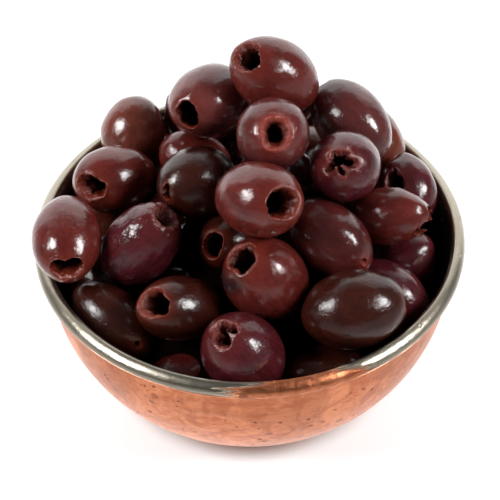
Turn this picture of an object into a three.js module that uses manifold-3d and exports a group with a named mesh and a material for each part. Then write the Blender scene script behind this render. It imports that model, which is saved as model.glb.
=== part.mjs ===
// A small round-bottomed copper bowl, tinned inside, heaped with pitted black olives.
// Millimetres, +Z up. The origin is the middle of the bowl's flat underside.
import * as THREE from "three";
import { mergeVertices } from "three/addons/utils/BufferGeometryUtils.js";
import Module from "manifold-3d";

// ---- Driving dimensions ----

// Bowl
const RIM_RADIUS = 60; // outermost edge of the turned-out lip
const EDGE_HEIGHT = 48.2; // height of that outermost edge
const MOUTH_RADIUS = 57.2; // outside of the wall, just under the lip
const BASE_RADIUS = 26.5; // flat underside
const WALL = 1.2;
const FLOOR = 1.6;
const BELLY_POWERS = [2.25, 1.6]; // how full the belly is: power of the height, root of the width
const OUTSIDE_TOP = 45.7; // where the outside of the wall meets the lip
const INSIDE_TOP = 46.6;
const LIP_CREST = 51.2;
const LIP = [
  // the rolled lip from under its outer edge over the crest to the inside: radius, height
  [57.8, 46.5],
  [59.1, 46.9],
  [59.9, 47.6],
  [RIM_RADIUS, EDGE_HEIGHT],
  [59.7, 49.1],
  [58.4, 50.7],
  [57.5, LIP_CREST],
  [56.7, 50.9],
  [56.2, 49.7],
];
const BOWL_SIDES = 60;
const BOWL_STEPS = 10; // along the wall

// Heap: a mound lofted from its peak to a foot circle inside the lip
const PEAK = new THREE.Vector2(5, 12); // the peak stands a little behind the middle
const PEAK_HEIGHT = 93; // of the topmost olive centres
const FOOT_RADIUS = 50;
const FOOT_HEIGHT = 47;
const MOUND_POWER = 1.4; // 1 is a straight cone, more is rounder
const CORE_PEAK_HEIGHT = 66; // the core is a lower mound of the same kind, hidden by the olives
const CORE_FOOT_HEIGHT = 32;
const CORE_SIDES = 32;
const CORE_STEPS = 7;
const CLEARANCE = 0.5; // olives off the bowl
const CORE_CLEARANCE = 0.9; // and the core off it

// Olives
const OLIVE_SIDES = 12;
const OLIVE_STEPS = 6; // from the pitting hole to the tip
const HOLE_RADIUS = 3.2; // where the pit was pushed out
const HOLE_DEPTH = 7;
const HOLE_TAPER = 0.7; // radius of the hole's end against its mouth
const SQUEEZE = 0.6; // how far an olive with flat sides presses into what it touches
const SHOWN_GIVE = 0.05; // how readily an olive with a set place is pushed aside, against 1 for the others
const SETTLE_ROUNDS = 60;

// Olives under the skin of the heap, in layers below the level of the topmost centres
const LAYER_DEPTHS = [14, 28, 42];
const LAYER_SPOTS = 170; // places tried in each layer
const LAYER_REACH = 46.5; // furthest centre from the bowl's axis
const LOWEST_CENTRE = 25;
const LAYER_LENGTH = 24.5;
const LAYER_WIDTH = 18.2;
const LAYER_SPREAD = 1.4; // how far the lengths vary; the widths vary by half of it
const LENGTH_BEAT = 2.3; // phase from one olive to the next, in radians, so that no two are alike
const WIDTH_BEAT = 3.1;
const HEADING_BEAT = 1.7; // how much faster the headings turn than the spiral
const TIGHTEST = 4; // deepest overlap that settling can still push apart

// Olives with a set place: centre, heading and rise of the long axis in degrees, length and width. The
// hole is at the end that the axis points to, or where its own heading and rise say.
// The front and top of the heap:
const SHOWN_OLIVES = [
  { at: [9.5, 23.5, 85.5], heading: -168, rise: 43, hole: [-147, 52], length: 29.5, width: 20.5 },
  { at: [-11.3, 25.3, 75.3], heading: -130, rise: 13, hole: [-120, 17], length: 27, width: 20.5 },
  { at: [6, 2, 83], heading: -91, rise: 37, hole: [-84, 43], length: 21.5, width: 20 },
  { at: [26, 0, 74], heading: -110, rise: 36, hole: [-105, 48], length: 23, width: 19.7 },
  { at: [29, 25.5, 67.5], heading: 133, rise: 25, length: 28, width: 19.5 },
  { at: [38, 32, 56], heading: 136, rise: 47, length: 24, width: 18 },
  { at: [-33, 34, 57], heading: -125, rise: -62, length: 23, width: 18.5 },
  { at: [-14.3, 20.5, 58.8], heading: 5, rise: -41, length: 24, width: 18 },
  { at: [-37.5, 13, 58], heading: -148, rise: 19, hole: [-124, 30], length: 26.5, width: 19.5 },
  { at: [-15.5, 2, 65.6], heading: -145, rise: 8, hole: [-137, 17], length: 24, width: 19.7 },
  { at: [3, -16, 76], heading: -37, rise: 20, hole: [-57, 33], length: 27.5, width: 20.2 },
  { at: [-49.5, -13.4, 59.1], heading: -88, rise: -8, hole: [-86, 5], length: 27, width: 19 },
  { at: [-30.5, -13, 58], heading: 10, rise: 54, hole: [-5, 56], length: 29, width: 20 },
  { at: [-4.5, -11, 54], heading: -131, rise: 43, hole: [-124, 36], length: 21, width: 16.5 },
  { at: [2.5, -26, 57], heading: -153, rise: 57, length: 27, width: 21.5 },
  { at: [23, -15, 60], heading: -34, rise: -24, hole: [-43, -3], length: 27, width: 19 },
  { at: [37.5, -4.8, 59.9], heading: -15, rise: 14, hole: [-25, 18], length: 24.5, width: 16.2 },
  { at: [44.5, 10, 52], heading: 102, rise: 38, length: 22, width: 16 },
  { at: [43, -1, 42], heading: -177, rise: -50, length: 22, width: 17 },
  { at: [39, -18, 43.5], heading: -22, rise: -21, length: 26, width: 18.5 },
  { at: [29.5, -34, 54], heading: 8, rise: 8, length: 29.3, width: 21.6 },
  { at: [-1, -45, 49.5], heading: -157, rise: 58, hole: [-146, 67], length: 28, width: 21.5 },
  { at: [-19, -30.5, 51.5], heading: -149, rise: 28, hole: [-137, 43], length: 27, width: 18 },
  { at: [-37, -25, 44], heading: -37, rise: -19, hole: [-54, 1], length: 28, width: 17 },
  { at: [-19, -38.5, 31.5], heading: -166, rise: -14, length: 25, width: 16 },
  { at: [20, -40, 34], heading: 7, rise: 7, length: 25, width: 17 },
];

// The back of the heap:
const BACK_OLIVES = [
  { at: [9, 39, 64.5], heading: -60, rise: 20, length: 26, width: 19 },
  { at: [-12, 40, 55], heading: 170, rise: 10, length: 25, width: 18.5 },
  { at: [25, 42, 47], heading: 130, rise: 12, length: 26, width: 18.5 },
  { at: [7, 46, 46], heading: 100, rise: -25, length: 24, width: 18.5 },
  { at: [-25, 36, 41], heading: 80, rise: 20, length: 24, width: 17.5 },
];

const GOLDEN_ANGLE = Math.PI * (3 - Math.sqrt(5));
const UP = new THREE.Vector3(0, 1, 0); // a lathe's own axis

const wasm = await Module();
wasm.setup();

// ---- Solids ----

function solid(geometry) {
  geometry.deleteAttribute("normal");
  geometry.deleteAttribute("uv");
  const merged = mergeVertices(geometry, 1e-3);
  return new wasm.Manifold(
    new wasm.Mesh({
      numProp: 3,
      vertProperties: merged.attributes.position.array,
      triVerts: new Uint32Array(merged.index.array),
    }),
  );
}

function geometryOf(made) {
  const mesh = made.getMesh();
  return new THREE.BufferGeometry()
    .setAttribute("position", new THREE.BufferAttribute(mesh.vertProperties, 3))
    .setIndex(new THREE.BufferAttribute(mesh.triVerts, 1));
}

// A turned solid about +Z from [radius, height] pairs that go round its section anticlockwise.
function turned(pairs, sides) {
  const points = pairs.map(([radius, height]) => new THREE.Vector2(radius, height));
  return new THREE.LatheGeometry(points, sides).rotateX(Math.PI / 2);
}

// ---- Bowl ----

// Outside radius of the wall at a height, or of a surface set in from it.
function wallRadius(height, inset = 0, floor = 0) {
  const depth = (EDGE_HEIGHT - height) / (EDGE_HEIGHT - floor);
  const fullness = 1 - Math.max(depth, 0) ** BELLY_POWERS[0];
  const swell = MOUTH_RADIUS - BASE_RADIUS;
  return BASE_RADIUS - inset + swell * Math.max(fullness, 0) ** (1 / BELLY_POWERS[1]);
}

// Heights down the wall, closer together towards the floor where it turns most.
function wallHeights(top, floor, steps) {
  return Array.from({ length: steps + 1 }, (_, i) => {
    const turn = (i / steps) * (Math.PI / 2);
    return floor + (top - floor) * (1 - Math.sin(turn));
  });
}

function bowlSection() {
  const outside = wallHeights(OUTSIDE_TOP, 0, BOWL_STEPS).reverse();
  const inside = wallHeights(INSIDE_TOP, FLOOR, BOWL_STEPS);
  return [
    [0, 0],
    ...outside.map((z) => [wallRadius(z), z]),
    ...LIP,
    ...inside.map((z) => [wallRadius(z, WALL, FLOOR), z]),
    [0, FLOOR],
  ];
}

// ---- Olives ----

function direction(heading, rise) {
  const flat = Math.cos(THREE.MathUtils.degToRad(rise));
  const turn = THREE.MathUtils.degToRad(heading);
  const lift = Math.sin(THREE.MathUtils.degToRad(rise));
  return new THREE.Vector3(flat * Math.cos(turn), flat * Math.sin(turn), lift);
}

function placedOlive({ at, heading, rise, hole, length, width }, give) {
  return {
    centre: new THREE.Vector3(...at),
    axis: direction(heading, rise),
    mouth: direction(...(hole ?? [heading, rise])),
    length,
    width,
    give,
  };
}

// An olive as a ball with the hole that the pit left, turned and drawn out along the olive's axis.
function oliveSolid({ centre, axis, mouth, length, width }) {
  const radius = width / 2 + SQUEEZE;
  const draw = (length / 2 + SQUEEZE) / radius;
  const edge = Math.asin(HOLE_RADIUS / radius);
  const brim = radius * Math.cos(edge);
  const pairs = [];
  for (let i = OLIVE_STEPS; i >= 0; i--) {
    const turn = edge + ((Math.PI - edge) * i) / OLIVE_STEPS;
    const reach = i === OLIVE_STEPS ? 0 : radius * Math.sin(turn);
    pairs.push(new THREE.Vector2(reach, radius * Math.cos(turn)));
  }
  pairs.push(new THREE.Vector2(HOLE_TAPER * HOLE_RADIUS, brim - HOLE_DEPTH));
  pairs.push(new THREE.Vector2(0, brim - HOLE_DEPTH));
  const lay = new THREE.Quaternion().setFromUnitVectors(UP, axis);
  const spot = mouth.clone().applyQuaternion(lay.clone().invert());
  spot.setY(spot.y / draw).normalize();
  const geometry = new THREE.LatheGeometry(pairs, OLIVE_SIDES);
  geometry.applyQuaternion(new THREE.Quaternion().setFromUnitVectors(UP, spot));
  geometry.scale(1, draw, 1);
  geometry.applyQuaternion(lay);
  geometry.translate(centre.x, centre.y, centre.z);
  return solid(geometry);
}

// ---- Heap ----

// How far down the mound a place lies, from 0 at its peak to 1 at its foot circle.
function moundShare(x, y) {
  const away = new THREE.Vector2(x, y).sub(PEAK);
  const lean = away.dot(PEAK);
  const span = FOOT_RADIUS ** 2 - PEAK.lengthSq();
  return (lean + Math.sqrt(lean ** 2 + span * away.lengthSq())) / span;
}

function moundHeight(x, y) {
  const drop = PEAK_HEIGHT - FOOT_HEIGHT;
  return PEAK_HEIGHT - drop * moundShare(x, y) ** MOUND_POWER;
}

// Five beads inside an olive that touch its skin, to test contacts with.
function beads({ centre, axis, length, width }) {
  const a = length / 2;
  const b = width / 2;
  const focus = a * a - b * b;
  return [-1, -0.5, 0, 0.5, 1].map((share) => {
    const along = (share * focus) / a;
    const radius = b * Math.sqrt(1 - along ** 2 / focus);
    return { place: axis.clone().multiplyScalar(along).add(centre), radius };
  });
}

// The deepest contact between two olives, as the push that would part them.
function contact(one, other) {
  let deepest = 0;
  let push = null;
  for (const p of beads(one)) {
    for (const q of beads(other)) {
      const gap = p.place.clone().sub(q.place);
      const depth = p.radius + q.radius - gap.length();
      if (depth > deepest) {
        deepest = depth;
        push = gap.normalize().multiplyScalar(depth);
      }
    }
  }
  return push;
}

// The push that keeps a bead off the floor and inside the wall, or off the lip when it is above the
// lip's middle.
function bowlPush({ place, radius }) {
  const reach = Math.hypot(place.x, place.y);
  const outwards = new THREE.Vector3(place.x / reach, place.y / reach, 0);
  const room = radius + SQUEEZE + CLEARANCE;
  const lipHalf = (RIM_RADIUS - MOUTH_RADIUS + WALL) / 2;
  const lipHeight = LIP_CREST - lipHalf;
  if (place.z > lipHeight) {
    const lip = outwards.multiplyScalar(RIM_RADIUS - lipHalf).setZ(lipHeight);
    const gap = place.clone().sub(lip);
    const over = room + lipHalf - gap.length();
    return over > 0 ? gap.normalize().multiplyScalar(over) : null;
  }
  const wall = (z) => wallRadius(z, WALL, FLOOR);
  const spread = wall(place.z + 0.5) - wall(place.z - 0.5);
  const inwards = outwards.negate().setZ(spread).normalize();
  const over = Math.max(room + (reach - wall(place.z)) / Math.hypot(1, spread), 0);
  const sunk = Math.max(FLOOR + room - place.z, 0);
  return over + sunk > 0 ? inwards.multiplyScalar(over).add(new THREE.Vector3(0, 0, sunk)) : null;
}

function settle(olives) {
  for (let round = 0; round < SETTLE_ROUNDS; round++) {
    olives.forEach((one, i) => {
      for (const other of olives.slice(i + 1)) {
        const push = contact(one, other);
        if (!push) continue;
        const share = one.give / (one.give + other.give);
        one.centre.addScaledVector(push, share / 2);
        other.centre.addScaledVector(push, (share - 1) / 2);
      }
      for (const bead of beads(one)) {
        const push = bowlPush(bead);
        if (push) one.centre.add(push);
      }
    });
  }
}

// An olive at the k-th spot of a spiral over the mound, lying along its slope.
function layerOlive(k, depth) {
  const share = Math.sqrt((k + 0.5) / LAYER_SPOTS);
  const turn = k * GOLDEN_ANGLE;
  const x = PEAK.x * (1 - share) + FOOT_RADIUS * share * Math.cos(turn);
  const y = PEAK.y * (1 - share) + FOOT_RADIUS * share * Math.sin(turn);
  const slope = new THREE.Vector3(
    moundHeight(x - 1, y) - moundHeight(x + 1, y),
    moundHeight(x, y - 1) - moundHeight(x, y + 1),
    2,
  ).normalize();
  const heading = HEADING_BEAT * turn;
  const axis = new THREE.Vector3(Math.cos(heading), Math.sin(heading), 0);
  axis.addScaledVector(slope, -axis.dot(slope)).normalize();
  return {
    centre: new THREE.Vector3(x, y, moundHeight(x, y) - depth),
    axis,
    mouth: axis,
    length: LAYER_LENGTH + LAYER_SPREAD * Math.sin(LENGTH_BEAT * k),
    width: LAYER_WIDTH + 0.5 * LAYER_SPREAD * Math.cos(WIDTH_BEAT * k),
    give: 1,
  };
}

function fits(olive, others) {
  if (Math.hypot(olive.centre.x, olive.centre.y) > LAYER_REACH) return false;
  if (olive.centre.z < LOWEST_CENTRE) return false;
  const pushes = [...beads(olive).map(bowlPush), ...others.map((other) => contact(olive, other))];
  return pushes.every((push) => !push || push.length() < TIGHTEST);
}

function heapOlives() {
  const olives = [
    ...SHOWN_OLIVES.map((olive) => placedOlive(olive, SHOWN_GIVE)),
    ...BACK_OLIVES.map((olive) => placedOlive(olive, 1)),
  ];
  for (const depth of LAYER_DEPTHS) {
    for (let k = 0; k < LAYER_SPOTS; k++) {
      const olive = layerOlive(k, depth);
      if (fits(olive, olives)) olives.push(olive);
    }
  }
  settle(olives);
  return olives;
}

// What the olives rest on: the bowl's inside up to the core's foot, and a mound on it.
function heapCore() {
  const inset = WALL + CORE_CLEARANCE;
  const floor = FLOOR + CORE_CLEARANCE;
  const room = wallHeights(CORE_FOOT_HEIGHT, floor, CORE_STEPS).reverse();
  const filling = room.map((z) => [wallRadius(z, inset, floor), z]);
  const foot = filling.at(-1)[0];
  const section = [[0, floor], ...filling];
  for (let i = CORE_STEPS - 1; i >= 0; i--) {
    const share = i / CORE_STEPS;
    const drop = (CORE_PEAK_HEIGHT - CORE_FOOT_HEIGHT) * share ** MOUND_POWER;
    section.push([foot * share, CORE_PEAK_HEIGHT - drop]);
  }
  const core = turned(section, CORE_SIDES);
  const places = core.getAttribute("position");
  for (let i = 0; i < places.count; i++) {
    const fallen = (CORE_PEAK_HEIGHT - places.getZ(i)) / (CORE_PEAK_HEIGHT - CORE_FOOT_HEIGHT);
    const lean = 1 - Math.min(Math.max(fallen, 0), 1) ** (1 / MOUND_POWER);
    places.setX(i, places.getX(i) + PEAK.x * lean);
    places.setY(i, places.getY(i) + PEAK.y * lean);
  }
  return solid(core);
}

function heapSolid() {
  const fused = heapOlives().reduce((heap, olive) => heap.add(oliveSolid(olive)), heapCore());
  const bodies = fused.decompose().filter((body) => body.volume() > 0);
  return bodies.reduce((largest, body) => (body.volume() > largest.volume() ? body : largest));
}

// ---- The object ----

const copper = new THREE.MeshStandardMaterial({ color: 0xc77f5e, roughness: 0.38, metalness: 1 });
const oliveSkin = new THREE.MeshStandardMaterial({ color: 0x4a1c1b, roughness: 0.25, metalness: 0 });

const bowl = new THREE.Mesh(geometryOf(solid(turned(bowlSection(), BOWL_SIDES))), copper);
bowl.name = "bowl";

const olives = new THREE.Mesh(geometryOf(heapSolid()), oliveSkin);
olives.name = "olives";

const dish = new THREE.Group();
dish.add(bowl, olives);

export default dish;
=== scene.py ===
"""The looks of a small copper bowl, tinned inside and heaped with pitted dark olives.

Sizes are in millimetres up to the point where a mesh, a light or the camera is made, which are in metres.
+Z is up, the front of the heap faces -Y, and the origin is the middle of the bowl's flat underside.
"""

import itertools
import logging
import math
from dataclasses import dataclass, field
from enum import Enum

import bpy
import numpy as np
from mathutils import Matrix, Vector


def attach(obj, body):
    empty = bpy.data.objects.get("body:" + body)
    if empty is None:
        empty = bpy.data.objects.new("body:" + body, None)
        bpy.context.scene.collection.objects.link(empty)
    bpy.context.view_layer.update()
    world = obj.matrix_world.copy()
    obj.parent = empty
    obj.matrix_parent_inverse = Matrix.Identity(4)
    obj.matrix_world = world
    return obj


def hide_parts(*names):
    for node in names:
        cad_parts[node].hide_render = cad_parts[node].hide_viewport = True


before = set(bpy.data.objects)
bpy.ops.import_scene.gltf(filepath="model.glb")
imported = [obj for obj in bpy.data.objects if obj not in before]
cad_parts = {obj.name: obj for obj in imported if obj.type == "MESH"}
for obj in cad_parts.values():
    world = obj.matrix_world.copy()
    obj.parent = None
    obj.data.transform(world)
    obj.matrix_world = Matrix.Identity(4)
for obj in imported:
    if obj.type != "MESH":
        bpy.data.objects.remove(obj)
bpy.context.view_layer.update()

Colour = tuple[float, float, float, float]

MM = 0.001
GOLDEN_ANGLE = math.pi * (3 - math.sqrt(5))
log = logging.getLogger("dish")


# ---- Shader and geometry nodes, written as expressions ----


class Value:
    """A number socket in a node tree. Sums on values add Math nodes to the tree."""

    def __init__(self, nodes: "Nodes", socket: bpy.types.NodeSocket) -> None:
        """Wraps a socket.

        Args:
            nodes: The tree that the socket is in.
            socket: The output socket that holds the number.
        """
        self.nodes = nodes
        self.socket = socket

    def _math(self, operation: str, *terms: "Value | float") -> "Value":
        """Adds a Math node on the terms, in order."""
        node = self.nodes.add("ShaderNodeMath", {"operation": operation}, list(terms))
        return Value(self.nodes, node.outputs[0])

    def __add__(self, other: "Value | float") -> "Value":
        """self + other"""
        return self._math("ADD", self, other)

    __radd__ = __add__

    def __mul__(self, other: "Value | float") -> "Value":
        """self * other"""
        return self._math("MULTIPLY", self, other)

    __rmul__ = __mul__

    def __sub__(self, other: "Value | float") -> "Value":
        """self - other"""
        return self._math("SUBTRACT", self, other)

    def __rsub__(self, other: float) -> "Value":
        """other - self"""
        return self._math("SUBTRACT", other, self)

    def __truediv__(self, other: "Value | float") -> "Value":
        """self / other"""
        return self._math("DIVIDE", self, other)

    def __rtruediv__(self, other: float) -> "Value":
        """other / self"""
        return self._math("DIVIDE", other, self)

    def __neg__(self) -> "Value":
        """-self"""
        return self._math("MULTIPLY", self, -1.0)

    def __abs__(self) -> "Value":
        """The size of self, without its sign."""
        return self._math("ABSOLUTE", self)

    def step(self, low: float, high: float) -> "Value":
        """A smooth step from 0 to 1.

        Args:
            low: The level at which it is 0.
            high: The level at which it is 1. It may be the lower one.

        Returns:
            The step.
        """
        settings = {"interpolation_type": "SMOOTHSTEP"}
        inputs = {"Value": self, "From Min": low, "From Max": high}
        node = self.nodes.add("ShaderNodeMapRange", settings, inputs)
        return Value(self.nodes, node.outputs["Result"])


@dataclass(frozen=True)
class Grain:
    """The settings of a noise.

    The scale is its features a metre, or a unit of the vector that it is read with. The detail is its
    octaves, rough says how strong the finer ones are, and warp how far it is distorted.
    """

    scale: float | Value
    detail: float = 2.0
    rough: float = 0.5
    warp: float = 0.0


class Nodes:
    """A node tree that nodes are added to by type, settings and inputs."""

    # The sockets of a Mix node that mixes colours.
    MIX_SHARE, MIX_FIRST, MIX_SECOND, MIX_RESULT = 0, 6, 7, 2

    def __init__(self, tree: bpy.types.NodeTree) -> None:
        """Wraps a tree."""
        self.tree = tree

    def add(self, kind: str, settings: dict | None = None,
            inputs: dict | list | None = None) -> bpy.types.Node:
        """Adds a node.

        Args:
            kind: The node's type, such as ShaderNodeTexNoise.
            settings: Its properties, which are set before its sockets.
            inputs: Values or links for its sockets, as for feed.

        Returns:
            The new node.
        """
        node = self.tree.nodes.new(kind)
        for name, value in (settings or {}).items():
            setattr(node, name, value)
        self.feed(node, inputs or {})
        return node

    def feed(self, node: bpy.types.Node, inputs: dict | list) -> None:
        """Sets or links a node's sockets.

        Args:
            node: The node.
            inputs: Values or links for its sockets, by name or number, or in order.
        """
        pairs = enumerate(inputs) if isinstance(inputs, list) else inputs.items()
        for name, value in pairs:
            socket = node.inputs[name]
            if isinstance(value, Value):
                value = value.socket
            if isinstance(value, bpy.types.NodeSocket):
                self.tree.links.new(value, socket)
            else:
                socket.default_value = value

    def noise(self, vector: bpy.types.NodeSocket, grain: Grain) -> Value:
        """A noise from 0 to 1.

        Args:
            vector: Where it is read.
            grain: Its settings.

        Returns:
            The noise.
        """
        inputs = {"Vector": vector, "Scale": grain.scale, "Detail": grain.detail, "Roughness": grain.rough,
                  "Distortion": grain.warp}
        return Value(self, self.add("ShaderNodeTexNoise", None, inputs).outputs[0])

    def cells(self, vector: bpy.types.NodeSocket, scale: float | Value, feature: str = "F1") -> Value:
        """The distance to the middle of a random cell.

        Args:
            vector: Where it is read.
            scale: Its cells a metre, or a unit of the vector.
            feature: F1 or SMOOTH_F1.

        Returns:
            The distance, in cells.
        """
        node = self.add("ShaderNodeTexVoronoi", {"feature": feature}, {"Vector": vector, "Scale": scale})
        return Value(self, node.outputs["Distance"])

    def mix(self, share: Value | float, first: Colour | bpy.types.NodeSocket,
            second: Colour | bpy.types.NodeSocket) -> bpy.types.NodeSocket:
        """A mix of two colours.

        Args:
            share: How much of the second there is.
            first: A colour or a link to one.
            second: Another.

        Returns:
            The socket of the mixed colour.
        """
        inputs = {self.MIX_SHARE: share, self.MIX_FIRST: first, self.MIX_SECOND: second}
        return self.add("ShaderNodeMix", {"data_type": "RGBA"}, inputs).outputs[self.MIX_RESULT]

    def attribute(self, name: str, output: str = "Fac") -> Value:
        """A mesh attribute of the piece.

        Args:
            name: The attribute's name.
            output: Fac for a number or Vector for a vector.

        Returns:
            The attribute.
        """
        return Value(self, self.add("ShaderNodeAttribute", {"attribute_name": name}).outputs[output])

    def place(self) -> bpy.types.NodeSocket:
        """The place on the piece, in metres in the part's frame."""
        return self.add("ShaderNodeTexCoord").outputs["Object"]

    def stretched(self, vector: bpy.types.NodeSocket,
                  scale: tuple[float, float, float]) -> bpy.types.NodeSocket:
        """A vector scaled differently along its axes.

        Args:
            vector: The vector's socket.
            scale: The three factors.

        Returns:
            The scaled vector's socket.
        """
        settings = {"operation": "MULTIPLY"}
        return self.add("ShaderNodeVectorMath", settings, [vector, scale]).outputs[0]

    def distance(self, vector: bpy.types.NodeSocket, point: tuple[float, float, float]) -> Value:
        """How far a vector is from a point."""
        node = self.add("ShaderNodeVectorMath", {"operation": "DISTANCE"}, [vector, point])
        return Value(self, node.outputs["Value"])

    def bump(self, height: Value, depth: float,
             below: bpy.types.NodeSocket | None = None) -> bpy.types.NodeSocket:
        """A bump.

        Args:
            height: The relief, from 0 to 1.
            depth: Its depth in millimetres.
            below: The normal of a bump that this one lies on.

        Returns:
            The socket of the new normal.
        """
        inputs = {"Height": height, "Distance": depth * MM, "Strength": 1.0}
        if below is not None:
            inputs["Normal"] = below
        return self.add("ShaderNodeBump", None, inputs).outputs["Normal"]


def srgb(red: float, green: float, blue: float) -> Colour:
    """A colour given by its 8-bit screen values.

    Args:
        red: From 0 to 255.
        green: From 0 to 255.
        blue: From 0 to 255.

    Returns:
        The linear colour with alpha 1.
    """
    parts = [channel / 255 for channel in (red, green, blue)]
    linear = [part / 12.92 if part < 0.04045 else ((part + 0.055) / 1.055) ** 2.4 for part in parts]
    return (*linear, 1.0)


def grey(level: float) -> Colour:
    """A grey given by its linear level."""
    return (level, level, level, 1.0)


def new_material(name: str) -> tuple[bpy.types.Material, Nodes, bpy.types.Node]:
    """A material with a Principled shader.

    Args:
        name: Its name.

    Returns:
        The material, its nodes and its shader node.
    """
    material = bpy.data.materials.new(name)
    material.use_nodes = True
    return material, Nodes(material.node_tree), material.node_tree.nodes["Principled BSDF"]


# ---- Finishes ----


class Tone(Enum):
    """The colours that the olives come in."""

    BLACK = "black"
    BROWN = "brown"
    RED = "red"
    GARNET = "garnet"
    WINE = "wine"


@dataclass(frozen=True)
class SkinFinish:
    """Wet olive skin and the torn flesh in its hole.

    The skin is browned towards the hole, bruised in places and given a painted pale sheen in others.
    The flesh darkens into the hole and its hollow goes near black as painted shade, as does an olive
    that gets little light among the others. Depths are in millimetres.
    """

    tone: Tone
    deep: Colour
    light: Colour
    rim: Colour
    flesh: Colour
    flesh_dark_and_shade: Colour
    freckle: Colour = srgb(104, 60, 50)
    fleck: Colour = srgb(190, 140, 130)
    # painted shade: the near black that the hole's hollow and the olives under the others are darkened to
    hollow: Colour = srgb(12, 4, 3)
    bruise: Colour = srgb(30, 25, 28)
    painted_sheen: Colour = srgb(152, 98, 96)
    blotches: Grain = Grain(0.17, 3.0, 0.6)
    streaks: Grain = Grain(1.0, 3.0, 0.6)
    streak_stretch: tuple[float, float, float] = (1.1, 1.1, 0.2)
    freckle_cells: float = 1.1
    freckle_patches: Grain = Grain(0.23, 1.0)
    freckled: float = 0.35
    browning: Grain = Grain(0.6, 3.0, 0.6)
    fleck_cells: float = 1.9
    smudges: Grain = Grain(0.3)
    films: Grain = Grain(1.2, 3.0, 0.65)
    film_patches: Grain = Grain(0.25)
    ripples: Grain = Grain(0.4)
    folds: Grain = Grain(0.4, warp=1.2)
    fold_stretch: tuple[float, float, float] = (1.0, 1.0, 0.6)
    fibres: Grain = Grain(1.2, 4.0, 0.7)
    roughness: float = 0.055
    smudge_roughness: float = 0.05
    flesh_roughness: float = 0.04
    hollow_roughness: float = 0.3
    specular: float = 0.5
    coat: float = 0.35
    coat_roughness: float = 0.26
    film_depth: float = 0.13
    ripple_depth: float = 0.12
    fold_depth: float = 0.3
    fibre_depth: float = 0.6

    def material(self) -> bpy.types.Material:
        """The finish as a material, which reads the attributes that OliveMaker gives to its meshes.

        Returns:
            The material.
        """
        material, nodes, shader = new_material(f"olive_{self.tone.value}")
        names = ("flesh", "rim", "deep", "wrinkle", "fleck", "shade", "bruise", "pale")
        flesh, rim, deep, wrinkle, fleck, shade, bruise, pale = (nodes.attribute(name) for name in names)
        own = nodes.attribute("own", "Vector").socket
        fibre = nodes.attribute("fibre", "Vector").socket
        torn = nodes.noise(fibre, self.fibres)
        self.colour(nodes, shader, own, torn, (flesh, rim, deep, fleck, shade, bruise, pale))
        smudge = nodes.noise(own, self.smudges)
        rough = (self.roughness + smudge * self.smudge_roughness + flesh * self.flesh_roughness
                 + deep * self.hollow_roughness)
        coat = (1.0 - deep) * shade * (1.0 - flesh * 0.9) * self.coat
        film = nodes.noise(own, self.films) * (nodes.noise(own, self.film_patches).step(0.4, 0.6) * 0.7 + 0.3)
        filmed = nodes.bump(film, self.film_depth)
        ripple = nodes.bump(nodes.noise(own, self.ripples), self.ripple_depth, filmed)
        crease = nodes.noise(nodes.stretched(own, self.fold_stretch), self.folds)
        folds = nodes.bump(abs(crease - 0.5) * wrinkle, self.fold_depth, ripple)
        fibres = nodes.bump(torn * flesh, self.fibre_depth, folds)
        nodes.feed(shader, {
            "Roughness": rough, "Coat Weight": coat, "Coat Roughness": self.coat_roughness,
            "Specular IOR Level": self.specular, "Normal": fibres,
        })
        return material

    def colour(self, nodes: Nodes, shader: bpy.types.Node, own: bpy.types.NodeSocket, torn: Value,
               parts: tuple[Value, ...]) -> None:
        """Links the skin's and the flesh's colours to the shader, with their painted shade and painted sheen.

        Args:
            nodes: The material's nodes.
            shader: Its shader.
            own: The place on the olive in its own frame, in millimetres.
            torn: The fibres of the flesh.
            parts: The attributes flesh, rim, deep, fleck, shade and bruise, and that of the painted pale
                sheen.
        """
        flesh, rim, deep, fleck, shade, bruise, pale = parts
        blotch = nodes.noise(own, self.blotches)
        streak = nodes.noise(nodes.stretched(own, self.streak_stretch), self.streaks)
        skin = nodes.mix((blotch * 0.6 + streak * 0.4).step(0.36, 0.64), self.deep, self.light)
        freckles = nodes.cells(own, self.freckle_cells).step(0.16, 0.08)
        freckles = freckles * nodes.noise(own, self.freckle_patches).step(0.5, 0.62)
        freckled = nodes.mix(freckles * self.freckled, skin, self.freckle)
        # painted sheen: a pale mauve laid in blotches over the skin of some olives
        sheened = nodes.mix(pale * (blotch + 0.2), freckled, self.painted_sheen)
        bruised = nodes.mix(bruise * (streak + 0.35), sheened, self.bruise)
        browned = nodes.mix(rim * (0.15 + nodes.noise(own, self.browning)), bruised, self.rim)
        # painted shade: the flesh is lightest at the brim and darker further into the hole, broken up by its
        # fibres
        inside = nodes.mix((rim * 0.8 + torn * 0.8 - 0.2).step(0.0, 1.0), self.flesh_dark_and_shade, self.flesh)
        flecks = nodes.cells(own, self.fleck_cells).step(0.3, 0.16)
        flecked = nodes.mix(flecks * fleck, inside, self.fleck)
        # painted shade: the hollow goes near black deeper into the hole
        sunk = nodes.mix(deep, flecked, self.hollow)
        whole = nodes.mix(flesh, browned, sunk)
        # painted shade: an olive that gets less light among the others is darkened towards the hollow colour
        nodes.feed(shader, {"Base Color": nodes.mix(shade, self.hollow, whole)})


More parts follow.
